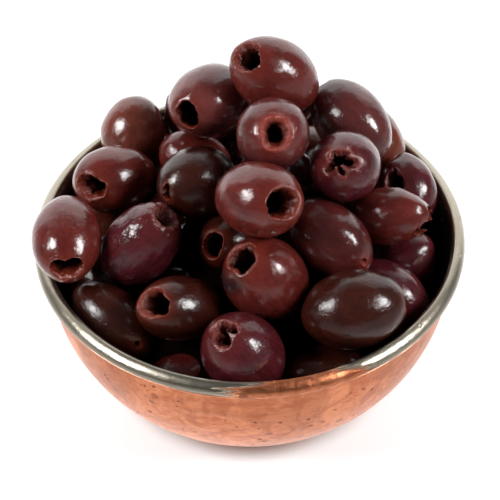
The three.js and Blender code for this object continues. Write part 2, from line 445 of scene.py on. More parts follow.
SKINS = {skin.tone: skin for skin in (
    SkinFinish(Tone.BLACK, deep=srgb(44, 15, 9), light=srgb(58, 21, 14), rim=srgb(90, 33, 21),
               flesh=srgb(124, 44, 25), flesh_dark_and_shade=srgb(50, 17, 11), roughness=0.13, specular=0.4, coat=0.3),
    SkinFinish(Tone.BROWN, deep=srgb(88, 36, 23), light=srgb(112, 50, 33), rim=srgb(104, 44, 27),
               flesh=srgb(120, 50, 29), flesh_dark_and_shade=srgb(58, 22, 14)),
    SkinFinish(Tone.RED, deep=srgb(80, 26, 22), light=srgb(100, 36, 31), rim=srgb(100, 35, 24),
               flesh=srgb(116, 40, 25), flesh_dark_and_shade=srgb(62, 22, 15)),
    SkinFinish(Tone.GARNET, deep=srgb(62, 17, 16), light=srgb(80, 25, 23), rim=srgb(104, 34, 27),
               flesh=srgb(146, 56, 43), flesh_dark_and_shade=srgb(62, 20, 15)),
    SkinFinish(Tone.WINE, deep=srgb(62, 18, 23), light=srgb(86, 29, 35), rim=srgb(86, 27, 27),
               flesh=srgb(118, 46, 40), flesh_dark_and_shade=srgb(58, 20, 19)),
)}


@dataclass(frozen=True)
class SpeckFinish:
    """Bits of wet flesh that catch the light."""

    light: Colour = srgb(112, 48, 38)
    deep: Colour = srgb(70, 26, 20)
    grains: Grain = Grain(900.0)
    roughness: float = 0.05
    grain_roughness: float = 0.1
    coat: float = 0.8
    coat_roughness: float = 0.04

    def material(self) -> bpy.types.Material:
        """The finish as a material.

        Returns:
            The material.
        """
        material, nodes, shader = new_material("wet_specks")
        grain = nodes.noise(nodes.place(), self.grains)
        nodes.feed(shader, {
            "Base Color": nodes.mix(grain.step(0.3, 0.7), self.deep, self.light),
            "Roughness": self.roughness + grain * self.grain_roughness,
            "Coat Weight": self.coat, "Coat Roughness": self.coat_roughness,
        })
        return material


@dataclass(frozen=True)
class MetalFinish:
    """Worn copper outside, rubbed tin on the lip and inside.

    It reads the attributes tin, worn, crease and ring, and darkens the crease under the lip as painted shade.
    Depths are in millimetres. Each mark is a brown spot's place and radius in metres.
    """

    bright: Colour = srgb(242, 157, 113)
    dull: Colour = srgb(204, 118, 80)
    patina: Colour = srgb(166, 96, 66)
    stain_and_shade: Colour = srgb(126, 68, 46)
    tin: Colour = srgb(178, 170, 154)
    grime: Colour = srgb(122, 110, 92)
    marks: tuple[tuple[float, float, float, float], ...] = ()
    mark_edges: Grain = Grain(600.0)
    mark_wobble: float = 0.8
    blotches: Grain = Grain(130.0, 6.0, 0.68, 1.2)
    clouds: Grain = Grain(36.0, 4.0, 0.65, 0.7)
    scratches: Grain = Grain(420.0, 3.0, 0.6)
    scratch_stretch: tuple[float, float, float] = (1.0, 1.0, 3.0)
    patch_cells: float = 130.0
    patch_places: Grain = Grain(33.0)
    pit_cells: float = 230.0
    pit_places: Grain = Grain(52.0)
    rubbing: Grain = Grain(0.8, 5.0, 0.65)
    weathering: float = 0.4
    patch_strength: float = 0.75
    pit_strength: float = 0.45
    bare_patina: float = 0.25
    grime_strength: float = 0.5
    roughness: float = 0.3
    blotch_roughness: float = 0.16
    pit_roughness: float = 0.25
    tin_smoothness: float = 0.11
    rubbed_roughness: float = 0.06
    scratch_depth: float = 0.08
    roll_depth: float = 0.06
    wave_depth: float = 0.8
    pit_depth: float = 0.3

    def material(self) -> bpy.types.Material:
        """The finish as a material.

        Returns:
            The material.
        """
        material, nodes, shader = new_material("copper_and_tin")
        place = nodes.place()
        ring = nodes.attribute("ring", "Vector").socket
        tin, worn, crease = (nodes.attribute(name) for name in ("tin", "worn", "crease"))
        blotch = nodes.noise(place, self.blotches)
        cloud = nodes.noise(place, self.clouds)
        grain = nodes.noise(nodes.stretched(place, self.scratch_stretch), self.scratches)
        patch = nodes.cells(place, self.patch_cells).step(0.22, 0.14)
        patch = patch * nodes.noise(place, self.patch_places).step(0.5, 0.58)
        pit = nodes.cells(place, self.pit_cells).step(0.17, 0.1)
        pit = pit * nodes.noise(place, self.pit_places).step(0.47, 0.52)
        wobble = nodes.noise(place, self.mark_edges) * self.mark_wobble
        for mark in self.marks:
            patch = patch + (nodes.distance(place, mark[:3]) / mark[3] + wobble).step(1.45, 1.15)
        patch = patch.step(0.0, 1.0)
        copper = nodes.mix((blotch * 0.8 + grain * 0.2).step(0.38, 0.62), self.dull, self.bright)
        weathered = nodes.mix(cloud.step(0.46, 0.64) * self.weathering, copper, self.patina)
        patched = nodes.mix(patch * self.patch_strength, weathered, self.patina)
        marked = nodes.mix(pit * self.pit_strength, patched, self.stain_and_shade)
        # painted shade: the copper darkens along the crease under the lip
        crease_shaded = nodes.mix(crease * (0.5 + blotch * 0.6), marked, self.stain_and_shade)
        rubbed = nodes.noise(ring, self.rubbing)
        bared = nodes.mix(tin * self.bare_patina, crease_shaded, self.patina)
        lining = nodes.mix(rubbed.step(0.4, 0.75) * self.grime_strength, self.tin, self.grime)
        bare = (worn + rubbed * 1.6 - 0.8).step(0.3, 0.7)
        cover = tin * (1.0 - bare)
        colour = nodes.mix(cover, bared, lining)
        rough = (self.roughness + blotch * self.blotch_roughness + pit * self.pit_roughness
                 - cover * self.tin_smoothness + cover * rubbed * self.rubbed_roughness)
        scratched = nodes.bump(grain, self.scratch_depth)
        rolled = nodes.bump(rubbed * tin, self.roll_depth, scratched)
        waved = nodes.bump((cloud + blotch * 0.3) * (1.0 - cover * 0.85), self.wave_depth, rolled)
        pitted = nodes.bump(1.0 - pit, self.pit_depth, waved)
        nodes.feed(shader, {"Base Color": colour, "Roughness": rough, "Normal": pitted, "Metallic": 1.0})
        return material


@dataclass(frozen=True)
class GapShadeFinish:
    """The painted shade, near black, that shows in the gaps of the heap."""

    deep: Colour = srgb(5, 2, 1)
    light: Colour = srgb(13, 5, 4)
    lumps: Grain = Grain(140.0, 3.0, 0.6)
    roughness: float = 0.5
    specular: float = 0.0
    lump_depth: float = 1.0

    def material(self) -> bpy.types.Material:
        """The finish as a material.

        Returns:
            The material.
        """
        material, nodes, shader = new_material("gap_shade")
        lumps = nodes.noise(nodes.place(), self.lumps)
        nodes.feed(shader, {
            "Base Color": nodes.mix(lumps, self.deep, self.light),
            "Normal": nodes.bump(lumps, self.lump_depth),
            "Roughness": self.roughness, "Specular IOR Level": self.specular,
        })
        return material


@dataclass(frozen=True)
class FloorFinish:
    """A plain white table top that glows a little, but for the disc under the bowl: a warm painted shadow.

    The disc's fade starts and ends at radii in millimetres.
    """

    shaded: Colour = (0.46, 0.38, 0.34, 1.0)
    open: Colour = grey(0.85)
    glow: Colour = (0.36, 0.4, 0.42, 1.0)
    fade_start: float = 33.0
    fade_end: float = 43.0
    roughness: float = 0.7

    def material(self) -> bpy.types.Material:
        """The finish as a material.

        Returns:
            The material.
        """
        material, nodes, shader = new_material("floor_white")
        # painted shadow: darker, warmer and without glow towards the middle, under the bowl
        away = nodes.distance(nodes.place(), (0.0, 0.0, 0.0)).step(self.fade_start * MM, self.fade_end * MM)
        nodes.feed(shader, {
            "Base Color": nodes.mix(away, self.shaded, self.open),
            "Emission Color": nodes.mix(away, grey(0.0), self.glow), "Emission Strength": 1.0,
            "Roughness": self.roughness,
        })
        return material


# ---- Meshes ----


@dataclass
class Shape:
    """A mesh in the making: points in millimetres, faces, and an attribute for each name."""

    points: np.ndarray
    faces: list[tuple[int, ...]]
    numbers: dict[str, np.ndarray] = field(default_factory=dict)
    vectors: dict[str, np.ndarray] = field(default_factory=dict)

    @staticmethod
    def joined(shapes: list["Shape"]) -> "Shape":
        """Several shapes as one.

        Args:
            shapes: The shapes, all with the same attributes.

        Returns:
            The one shape.
        """
        starts = np.cumsum([0] + [len(shape.points) for shape in shapes])
        faces = [tuple(corner + int(start) for corner in face)
                 for shape, start in zip(shapes, starts) for face in shape.faces]
        return Shape(
            np.concatenate([shape.points for shape in shapes]),
            faces,
            {name: np.concatenate([shape.numbers[name] for shape in shapes]) for name in shapes[0].numbers},
            {name: np.concatenate([shape.vectors[name] for shape in shapes]) for name in shapes[0].vectors},
        )

    def piece(self, name: str, material: bpy.types.Material | None = None) -> bpy.types.Object:
        """The shape as a smooth-shaded object.

        Args:
            name: The object's name.
            material: Its material, if it has one yet.

        Returns:
            The object, linked to the scene.
        """
        mesh = bpy.data.meshes.new(name)
        mesh.from_pydata((self.points * MM).tolist(), [], self.faces)
        mesh.polygons.foreach_set("use_smooth", [True] * len(mesh.polygons))
        for key, values in self.numbers.items():
            layer = mesh.attributes.new(key, "FLOAT", "POINT")
            layer.data.foreach_set("value", values.astype(np.float32))
        for key, values in self.vectors.items():
            layer = mesh.attributes.new(key, "FLOAT_VECTOR", "POINT")
            layer.data.foreach_set("vector", values.astype(np.float32).ravel())
        mesh.update()
        piece = bpy.data.objects.new(name, mesh)
        bpy.context.scene.collection.objects.link(piece)
        if material:
            mesh.materials.append(material)
        return piece


class Relief:
    """Smooth random relief in space, from -1 to 1, with one swell or dip to a unit."""

    CELLS = 32

    def __init__(self, seed: int) -> None:
        """Draws the relief for a seed."""
        self.table = np.random.default_rng(seed).uniform(-1, 1, (self.CELLS,) * 3)

    def at(self, points: np.ndarray) -> np.ndarray:
        """The relief's height at places.

        Args:
            points: The places. Their last axis is the coordinates.

        Returns:
            The heights.
        """
        cell = np.floor(points).astype(int)
        part = points - cell
        part = part * part * (3 - 2 * part)
        total = np.zeros(points.shape[:-1])
        for corner in itertools.product((0, 1), repeat=3):
            weight = np.where(corner, part, 1 - part).prod(-1)
            index = (cell + corner) % self.CELLS
            total += weight * self.table[index[..., 0], index[..., 1], index[..., 2]]
        return total

    def shift(self, points: np.ndarray) -> np.ndarray:
        """Three independent heights at points, as a shift."""
        apart = self.CELLS / 3
        return np.stack([self.at(points + apart * axis) for axis in range(3)], -1)


def closed_faces(rows: int, sides: int) -> list[tuple[int, ...]]:
    """Quads between closed rings of points, and triangles from the end rings to the points that close them.

    The points are numbered ring by ring. After them come the point that closes the first ring and the point
    that closes the last.

    Args:
        rows: How many rings there are.
        sides: Points in each ring.

    Returns:
        The faces.
    """
    faces = []
    for row in range(rows - 1):
        here = row * sides
        for side in range(sides):
            after = (side + 1) % sides
            faces.append((here + side, here + after, here + sides + after, here + sides + side))
    start, last = rows * sides, (rows - 1) * sides
    for side in range(sides):
        after = (side + 1) % sides
        faces.append((start, after, side))
        faces.append((start + 1, last + side, last + after))
    return faces


def turned_points(section: np.ndarray, sides: int, ends: list[list[float]],
                  shifts: np.ndarray | None = None) -> np.ndarray:
    """The points of a section turned about the upright axis, numbered as closed_faces has them.

    Args:
        section: The radius and height of each ring.
        sides: Points in each ring.
        ends: The points that close the first and the last ring.
        shifts: How far each ring is moved along X and Y.

    Returns:
        The points.
    """
    turns = np.linspace(0, 2 * math.pi, sides, endpoint=False)
    level = section[:, None, :1] * np.stack([np.cos(turns), np.sin(turns)], -1)
    if shifts is not None:
        level += shifts[:, None]
    heights = np.broadcast_to(section[:, None, 1:], (len(section), sides, 1))
    return np.concatenate([np.concatenate([level, heights], -1).reshape(-1, 3), ends])


def bezier(points: list[np.ndarray], shares: np.ndarray) -> np.ndarray:
    """Places on a cubic curve.

    Args:
        points: Its four control points, each an array whose last axis is the coordinates.
        shares: How far along the places are, from 0 to 1.

    Returns:
        The places, with the shares as the first axis.
    """
    share = shares.reshape(-1, *[1] * points[0].ndim)
    rest = 1 - share
    weights = (rest**3, 3 * rest**2 * share, 3 * rest * share**2, share**3)
    return sum(weight * point[None] for weight, point in zip(weights, points))


def new_tree(name: str, inputs: dict[str, str]) -> tuple[Nodes, bpy.types.bpy_prop_collection]:
    """A Geometry Nodes tree with a geometry in and out.

    Args:
        name: Its name.
        inputs: The kind of socket for each named input besides the geometry.

    Returns:
        Its nodes and the outputs of its input node.
    """
    tree = bpy.data.node_groups.new(name, "GeometryNodeTree")
    tree.interface.new_socket("Geometry", in_out="INPUT", socket_type="NodeSocketGeometry")
    for label, kind in inputs.items():
        tree.interface.new_socket(label, in_out="INPUT", socket_type=f"NodeSocket{kind}")
    tree.interface.new_socket("Geometry", in_out="OUTPUT", socket_type="NodeSocketGeometry")
    nodes = Nodes(tree)
    return nodes, nodes.add("NodeGroupInput").outputs


def named_attribute(nodes: Nodes, name: str, kind: str) -> bpy.types.NodeSocket:
    """A mesh attribute in a Geometry Nodes tree, by its name and data type."""
    return nodes.add("GeometryNodeInputNamedAttribute", {"data_type": kind}, {"Name": name}).outputs[0]


def finish_tree(nodes: Nodes, geometry: bpy.types.NodeSocket, skin: bpy.types.NodeSocket) -> None:
    """Ends a tree: its instances are realized and given their material.

    Args:
        nodes: The tree's nodes.
        geometry: What it has made.
        skin: The material's socket.
    """
    real = nodes.add("GeometryNodeRealizeInstances", None, [geometry]).outputs[0]
    dressed = nodes.add("GeometryNodeSetMaterial", None, {"Geometry": real, "Material": skin}).outputs[0]
    nodes.add("NodeGroupOutput", None, [dressed])


def apply_tree(piece: bpy.types.Object, nodes: Nodes, values: dict[str, object]) -> None:
    """Runs a Geometry Nodes tree on a piece and keeps the result as its plain mesh.

    Args:
        piece: The object.
        nodes: The tree's nodes.
        values: Values for the tree's named inputs.
    """
    tree = nodes.tree
    modifier = piece.modifiers.new(tree.name, "NODES")
    modifier.node_group = tree
    identifiers = {item.name: item.identifier for item in tree.interface.items_tree if item.in_out == "INPUT"}
    for name, value in values.items():
        modifier[identifiers[name]] = value
    piece.update_tag()
    evaluated = piece.evaluated_get(bpy.context.evaluated_depsgraph_get())
    made = bpy.data.meshes.new_from_object(evaluated)
    piece.modifiers.remove(modifier)
    piece.data = made


# ---- Bowl ----


@dataclass
class Bowl:
    """The copper bowl: a turned wall with a rolled lip, tinned inside.

    Headings are in degrees and the worn places are half widths in them. Each mark is a brown spot's heading,
    height and radius.
    """

    rim_radius: float = 60.0
    edge_height: float = 48.2
    mouth_radius: float = 57.2
    base_radius: float = 26.5
    wall: float = 1.2
    floor: float = 1.6
    belly_powers: tuple[float, float] = (2.25, 1.6)
    outside_top: float = 45.7
    inside_top: float = 46.6
    crest: float = 51.2
    sides: int = 320
    wall_steps: int = 44
    lip_steps: int = 4
    tinned_corner: int = 5
    blow_size: float = 7.5
    blow_depth: float = 0.16
    blow_fade_foot: float = 6.0
    blow_fade_top: float = 4.0
    drip_size: float = 5.0
    drip_depth: float = 0.12
    drip_level: float = 0.2
    drip_fade: float = 1.5
    worn_heading: float = -77.0
    worn_edge: float = 19.0
    worn_crest: float = 9.0
    worn_fade: float = 14.0
    edge_band: float = 2.0
    edge_fade: float = 1.2
    crease_height: float = 46.1
    crease_width: float = 0.35
    rub_scale: float = 1.5
    rub_reach: float = 3.0
    marks: tuple[tuple[float, float, float], ...] = (
        (-117, 38.4, 1.2), (-121, 41, 0.45), (-123, 41.7, 0.35), (-119, 39.9, 0.35), (-120, 36.6, 0.4),
        (-97, 34, 0.4), (-94, 30.9, 0.55), (-95, 29, 0.4), (-97, 37, 0.4), (-86, 37.5, 0.4),
        (-134, 37.9, 0.4), (-85, 26.3, 1.2), (-63, 45, 0.8), (-62, 38.3, 0.6), (-78, 41.4, 0.5),
        (-69, 27.5, 0.65), (-72, 32, 0.4), (-66, 32.6, 0.65),
    )

    def radius(self, height: float, inset: float = 0.0, floor: float = 0.0) -> float:
        """The outside radius of the wall at a height, or of a surface set in from it.

        Args:
            height: The height above the table.
            inset: How far the surface is set in.
            floor: The height at which the surface closes.

        Returns:
            The radius.
        """
        depth = (self.edge_height - height) / (self.edge_height - floor)
        fullness = 1 - max(depth, 0.0) ** self.belly_powers[0]
        swell = self.mouth_radius - self.base_radius
        return self.base_radius - inset + swell * max(fullness, 0.0) ** (1 / self.belly_powers[1])

    def lip(self) -> list[tuple[float, float]]:
        """The lip's corners from the crease under it over the crest to the inside.

        Returns:
            The radius and height of each.
        """
        return [
            (57.2, 46.2), (58.2, 46.4), (59.2, 46.8), (59.8, 47.5), (self.rim_radius, self.edge_height),
            (59.85, 49.3), (59.3, 50.2), (58.4, 50.9), (57.4, self.crest), (56.7, 50.8), (56.2, 49.7),
        ]

    def heights(self, top: float, floor: float, steps: int) -> np.ndarray:
        """Heights down the wall from its top to its floor, closer together where it turns most."""
        turns = np.linspace(0, math.pi / 2, steps + 1)
        return floor + (top - floor) * (1 - np.sin(turns))

    def section(self) -> tuple[np.ndarray, np.ndarray]:
        """The section from the middle of the underside round to the middle of the inside.

        Returns:
            Its points as radius and height, and how much of each is tinned.
        """
        outside = [(self.radius(z), z) for z in self.heights(self.outside_top, 0.0, self.wall_steps)[::-1]]
        lower = self.heights(self.inside_top, self.floor, self.wall_steps)
        inside = [(self.radius(z, self.wall, self.floor), z) for z in lower]
        corners = [outside[-1], *self.lip(), inside[0]]
        lip = []
        for index in range(len(corners) - 1):
            around = [np.array(corners[max(0, min(index + k, len(corners) - 1))]) for k in (-1, 0, 1, 2)]
            before, here, after, beyond = around
            curve = [here, here + (after - before) / 6, after - (beyond - here) / 6, after]
            lip.extend(bezier(curve, np.linspace(0, 1, self.lip_steps, endpoint=False)).tolist())
        flat = [(self.base_radius * share, 0.0) for share in (0.0, 0.35, 0.7)]
        inner_flat = [(inside[-1][0] * share, self.floor) for share in (0.7, 0.35, 0.0)]
        points = np.array([*flat, *outside[:-1], *lip, *inside, *inner_flat])
        start = len(flat) + len(outside) - 1 + self.lip_steps * self.tinned_corner
        tin = np.zeros(len(points))
        tin[start:] = 1.0
        return points, tin

    def worn(self, points: np.ndarray, tinned: np.ndarray) -> np.ndarray:
        """Where the tin is rubbed off the lip: a wide stretch of its edge, and less of its crest.

        Args:
            points: Places on the bowl.
            tinned: How much of each is tinned.

        Returns:
            How worn each is, from 0 to 1.
        """
        headings = np.degrees(np.arctan2(points[:, 1], points[:, 0]))
        away = np.abs((headings - self.worn_heading + 180) % 360 - 180)
        radii = np.hypot(points[:, 0], points[:, 1])
        edge = np.clip((radii - self.rim_radius + self.edge_band) / self.edge_fade, 0, 1)
        half = self.worn_crest + (self.worn_edge - self.worn_crest) * edge
        return np.clip(0.5 + (half - away) / self.worn_fade, 0, 1) * tinned * (points[:, 2] > self.inside_top)

    def mark(self, heading: float, height: float, size: float) -> tuple[float, float, float, float]:
        """A brown spot's place on the outside and its radius, in metres."""
        turn, radius = math.radians(heading), self.radius(height)
        return radius * math.cos(turn) * MM, radius * math.sin(turn) * MM, height * MM, size * MM

    def hammered(self, piece: bpy.types.Object, metal: bpy.types.Material) -> None:
        """Dents the outside with overlapping hammer blows and makes the tin of the lip a little uneven.

        Args:
            piece: The bowl, with the attributes outside and lip.
            metal: Its material.
        """
        kinds = {"Blow Size": "Float", "Blow Depth": "Float", "Drip Size": "Float", "Drip Depth": "Float",
                 "Metal": "Material"}
        nodes, start = new_tree("hammer_blows", kinds)
        place = nodes.add("GeometryNodeInputPosition").outputs[0]
        outside, lip = (Value(nodes, named_attribute(nodes, name, "FLOAT")) for name in ("outside", "lip"))
        blow_size, blow_depth, drip_size, drip_depth = (Value(nodes, start[name]) for name in list(kinds)[:4])
        blows = 1.0 - nodes.cells(place, 1.0 / blow_size, "SMOOTH_F1")
        drips = nodes.noise(place, Grain(1.0 / drip_size, 3.0)) - self.drip_level
        dent = blows * outside * blow_depth + drips * lip * drip_depth
        normal = nodes.add("GeometryNodeInputNormal").outputs[0]
        sunk = nodes.add("ShaderNodeVectorMath", {"operation": "SCALE"}, {0: normal, "Scale": -dent})
        moved = nodes.add("GeometryNodeSetPosition", None, {
            "Geometry": start["Geometry"], "Offset": sunk.outputs[0],
        })
        finish_tree(nodes, moved.outputs[0], start["Metal"])
        apply_tree(piece, nodes, {
            "Blow Size": self.blow_size * MM, "Blow Depth": self.blow_depth * MM,
            "Drip Size": self.drip_size * MM, "Drip Depth": self.drip_depth * MM, "Metal": metal,
        })

    def build(self) -> bpy.types.Object:
        """Makes and dresses the bowl.

        Returns:
            The bowl's piece.
        """
        section, tin = self.section()
        ring = section[1:-1]
        points = turned_points(ring, self.sides, [[0, 0, 0], [0, 0, self.floor]])
        tinned = np.append(np.repeat(tin[1:-1], self.sides), [0.0, 1.0])
        heights = points[:, 2]
        free = np.clip(heights / self.blow_fade_foot, 0, 1)
        free *= np.clip((self.outside_top - heights) / self.blow_fade_top, 0, 1)
        headings = np.arctan2(points[:, 1], points[:, 0])
        radii = np.hypot(points[:, 0], points[:, 1])
        numbers = {
            "tin": tinned,
            "outside": (1 - tinned) * free,
            "lip": np.clip((heights - self.inside_top) / self.drip_fade, 0, 1),
            "worn": self.worn(points, tinned),
            # where the copper under the lip gets painted shade
            "crease": np.exp(-(((heights - self.crease_height) / self.crease_width) ** 2)) * (1 - tinned),
        }
        along = np.stack([
            self.rub_scale * (radii - self.rim_radius) + self.rub_reach * np.cos(headings),
            self.rub_scale * heights + self.rub_reach * np.sin(headings),
            np.sin(2 * headings),
        ], -1)
        shape = Shape(points, closed_faces(len(ring), self.sides), numbers, {"ring": along})
        piece = shape.piece("bowl_copper")
        self.hammered(piece, MetalFinish(marks=tuple(self.mark(*mark) for mark in self.marks)).material())
        return piece


# ---- Olives ----


@dataclass(frozen=True)
class Olive:
    """One olive: where it lies and how it looks.

    The heading and rise are its long axis's, and the hole's are its own where it isn't at the axis's end. A
    bruise is a dark patch that faces a heading and rise. Turns about the hole are in degrees, from level
    towards up, seen from outside.
    """

    at: tuple[float, float, float]
    heading: float
    rise: float
    length: float
    width: float
    tone: Tone = Tone.RED
    hole: tuple[float, float] | None = None
    mouth: float = 3.1
    funnel: float = 1.2
    lean: float = 0.0
    side: float = 0.0
    oval: float = 0.08
    oval_turn: float = 0.0
    ragged: float = 0.35
    flaps: int = 0
    flap: float = 0.0
    flecked: float = 0.0
    wrinkle: float = 0.0
    lumps: float = 0.45
    # painted sheen: how much pale sheen is painted on its skin
    pale: float = 0.0
    bruise: tuple[float, float] | None = None


SHOWN_OLIVES = [
    Olive((9.5, 23.5, 85.5), -168, 43, 29.5, 20.5, Tone.RED, (-147, 52), mouth=3.0, funnel=2.0, lean=0.8,
          side=200, ragged=0.8, flecked=0.3),
    Olive((-11.3, 25.3, 75.3), -130, 13, 27, 20.5, Tone.RED, (-120, 17), mouth=3.4, funnel=0.9, oval=0.14,
          oval_turn=110, ragged=0.45, pale=0.2),
    Olive((6, 2, 83), -91, 37, 21.5, 20, Tone.GARNET, (-84, 43), mouth=2.4, funnel=3.4, oval=0.12,
          oval_turn=90, ragged=0.45, pale=0.15),
    Olive((26, 0, 74), -110, 36, 23, 19.7, Tone.WINE, (-105, 48), mouth=2.3, funnel=2.8, ragged=1.1,
          flaps=5, flap=1.2, flecked=0.4),
    Olive((29, 25.5, 67.5), 133, 25, 28, 19.5, Tone.GARNET, lumps=0.3, pale=0.15),
    Olive((38, 32, 56), 136, 47, 24, 18, Tone.BROWN),
    Olive((-33, 34, 57), -125, -62, 23, 18.5, Tone.BROWN, pale=0.1),
    Olive((-14.3, 20.5, 58.8), 5, -41, 24, 18, Tone.RED),
    Olive((-37.5, 13, 58), -148, 19, 26.5, 19.5, Tone.RED, (-124, 30), mouth=2.4, funnel=2.3, lean=0.6,
          side=230, ragged=0.8),
    Olive((-15.5, 2, 65.6), -145, 8, 24, 19.7, Tone.BLACK, (-137, 17), mouth=1.6, funnel=0.5, oval=0.5,
          oval_turn=115, lumps=0.3),
    Olive((3, -16, 76), -37, 20, 27.5, 20.2, Tone.RED, (-57, 33), mouth=3.2, funnel=2.2, lean=0.75,
          side=-20, ragged=0.6),
    Olive((-49.5, -13.4, 59.1), -88, -8, 27, 19, Tone.RED, (-86, 5), mouth=3.2, funnel=1.3, lean=0.6,
          side=270, oval=0.25, ragged=0.35),
    Olive((-30.5, -13, 58), 10, 54, 29, 20, Tone.WINE, (-5, 56), mouth=1.5, funnel=4.0, lean=0.3, side=-10,
          oval=0.25, oval_turn=130, ragged=0.9, flecked=0.8, wrinkle=1.0),
    Olive((-4.5, -11, 54), -131, 43, 21, 16.5, Tone.BLACK, (-124, 36), mouth=2.9, funnel=1.2, oval=0.15,
          oval_turn=90),
    Olive((1.8, -26, 57), -153, 57, 28.2, 22.4, Tone.RED, mouth=3.5, funnel=2.2, lean=0.2, side=170,
          oval=0.12, ragged=0.9, flecked=0.2, bruise=(-156, 28)),
    Olive((23, -15, 60), -34, -24, 27, 19, Tone.GARNET, (-43, -3), mouth=0.6, funnel=1.0, pale=0.06),
    Olive((37.5, -4.8, 59.9), -15, 14, 24.5, 16.2, Tone.RED, (-17, 3), mouth=3.7, funnel=0.6, ragged=0.8,
          flaps=3, flap=0.4, lumps=0.8),
    Olive((44.5, 10, 52), 102, 38, 22, 16, Tone.WINE, (-150, 46), mouth=2.3, funnel=1.4, ragged=0.8,
          lumps=0.7),
    Olive((43, -1, 42), -177, -50, 22, 17, Tone.WINE),
    Olive((39, -18, 43.5), -22, -21, 26, 18.5, Tone.WINE),
    Olive((29.5, -34, 54), 8, 8, 29.3, 21.6, Tone.BLACK, lumps=0.3),
    Olive((-1, -45, 49.5), -157, 58, 28, 21.5, Tone.WINE, (-146, 67), mouth=2.0, funnel=3.0, lean=0.4,
          side=240, ragged=0.9, flaps=3, flap=1.1, flecked=0.5),
    Olive((-19, -30.5, 51.5), -149, 28, 27, 18, Tone.BLACK, (-137, 43), mouth=3.0, funnel=1.9, lean=0.6,
          side=190, ragged=0.6),
    Olive((-37, -25, 44), -37, -19, 28, 17, Tone.BLACK, (-54, 1), mouth=0.6, funnel=0.8, lumps=0.3),
    Olive((-19, -38.5, 31.5), -166, -14, 25, 16, Tone.GARNET),
    Olive((20, -40, 34), 7, 7, 25, 17, Tone.BLACK),
]
BACK_OLIVES = [
    Olive((9, 39, 64.5), -60, 20, 26, 19, Tone.RED),
    Olive((-12, 40, 55), 170, 10, 25, 18.5, Tone.WINE),
    Olive((25, 42, 47), 130, 12, 26, 18.5, Tone.BROWN),
    Olive((7, 46, 46), 100, -25, 24, 18.5, Tone.BLACK),
    Olive((-25, 36, 41), 80, 20, 24, 17.5, Tone.RED),
]


@dataclass
class Lying:
    """An olive in the settling heap. The mouth is where its hole points, and give how easily it moves."""

    centre: np.ndarray
    axis: np.ndarray
    mouth: np.ndarray
    length: float
    width: float
    give: float
    looks: Olive | None = None

    def beads(self) -> tuple[np.ndarray, np.ndarray]:
        """Five beads inside the olive that touch its skin.

        Returns:
            Their places and radii.
        """
        half_length, half_width = self.length / 2, self.width / 2
        focus = half_length * half_length - half_width * half_width
        along = np.linspace(-1, 1, 5) * focus / half_length
        return self.centre + along[:, None] * self.axis, half_width * np.sqrt(1 - along**2 / focus)

    def upright(self) -> bool:
        """Whether its long axis stands up, or nearly so."""
        return abs(self.axis[2]) >= 0.99


def direction(heading: float, rise: float) -> np.ndarray:
    """A unit vector.

    Args:
        heading: Degrees from +X towards +Y.
        rise: Degrees above the level.

    Returns:
        The vector.
    """
    turn, lift = math.radians(heading), math.radians(rise)
    return np.array([math.cos(lift) * math.cos(turn), math.cos(lift) * math.sin(turn), math.sin(lift)])


def unit(vector: np.ndarray) -> np.ndarray:
    """A vector drawn out or in to the length 1."""
    return vector / np.linalg.norm(vector, axis=-1, keepdims=True)


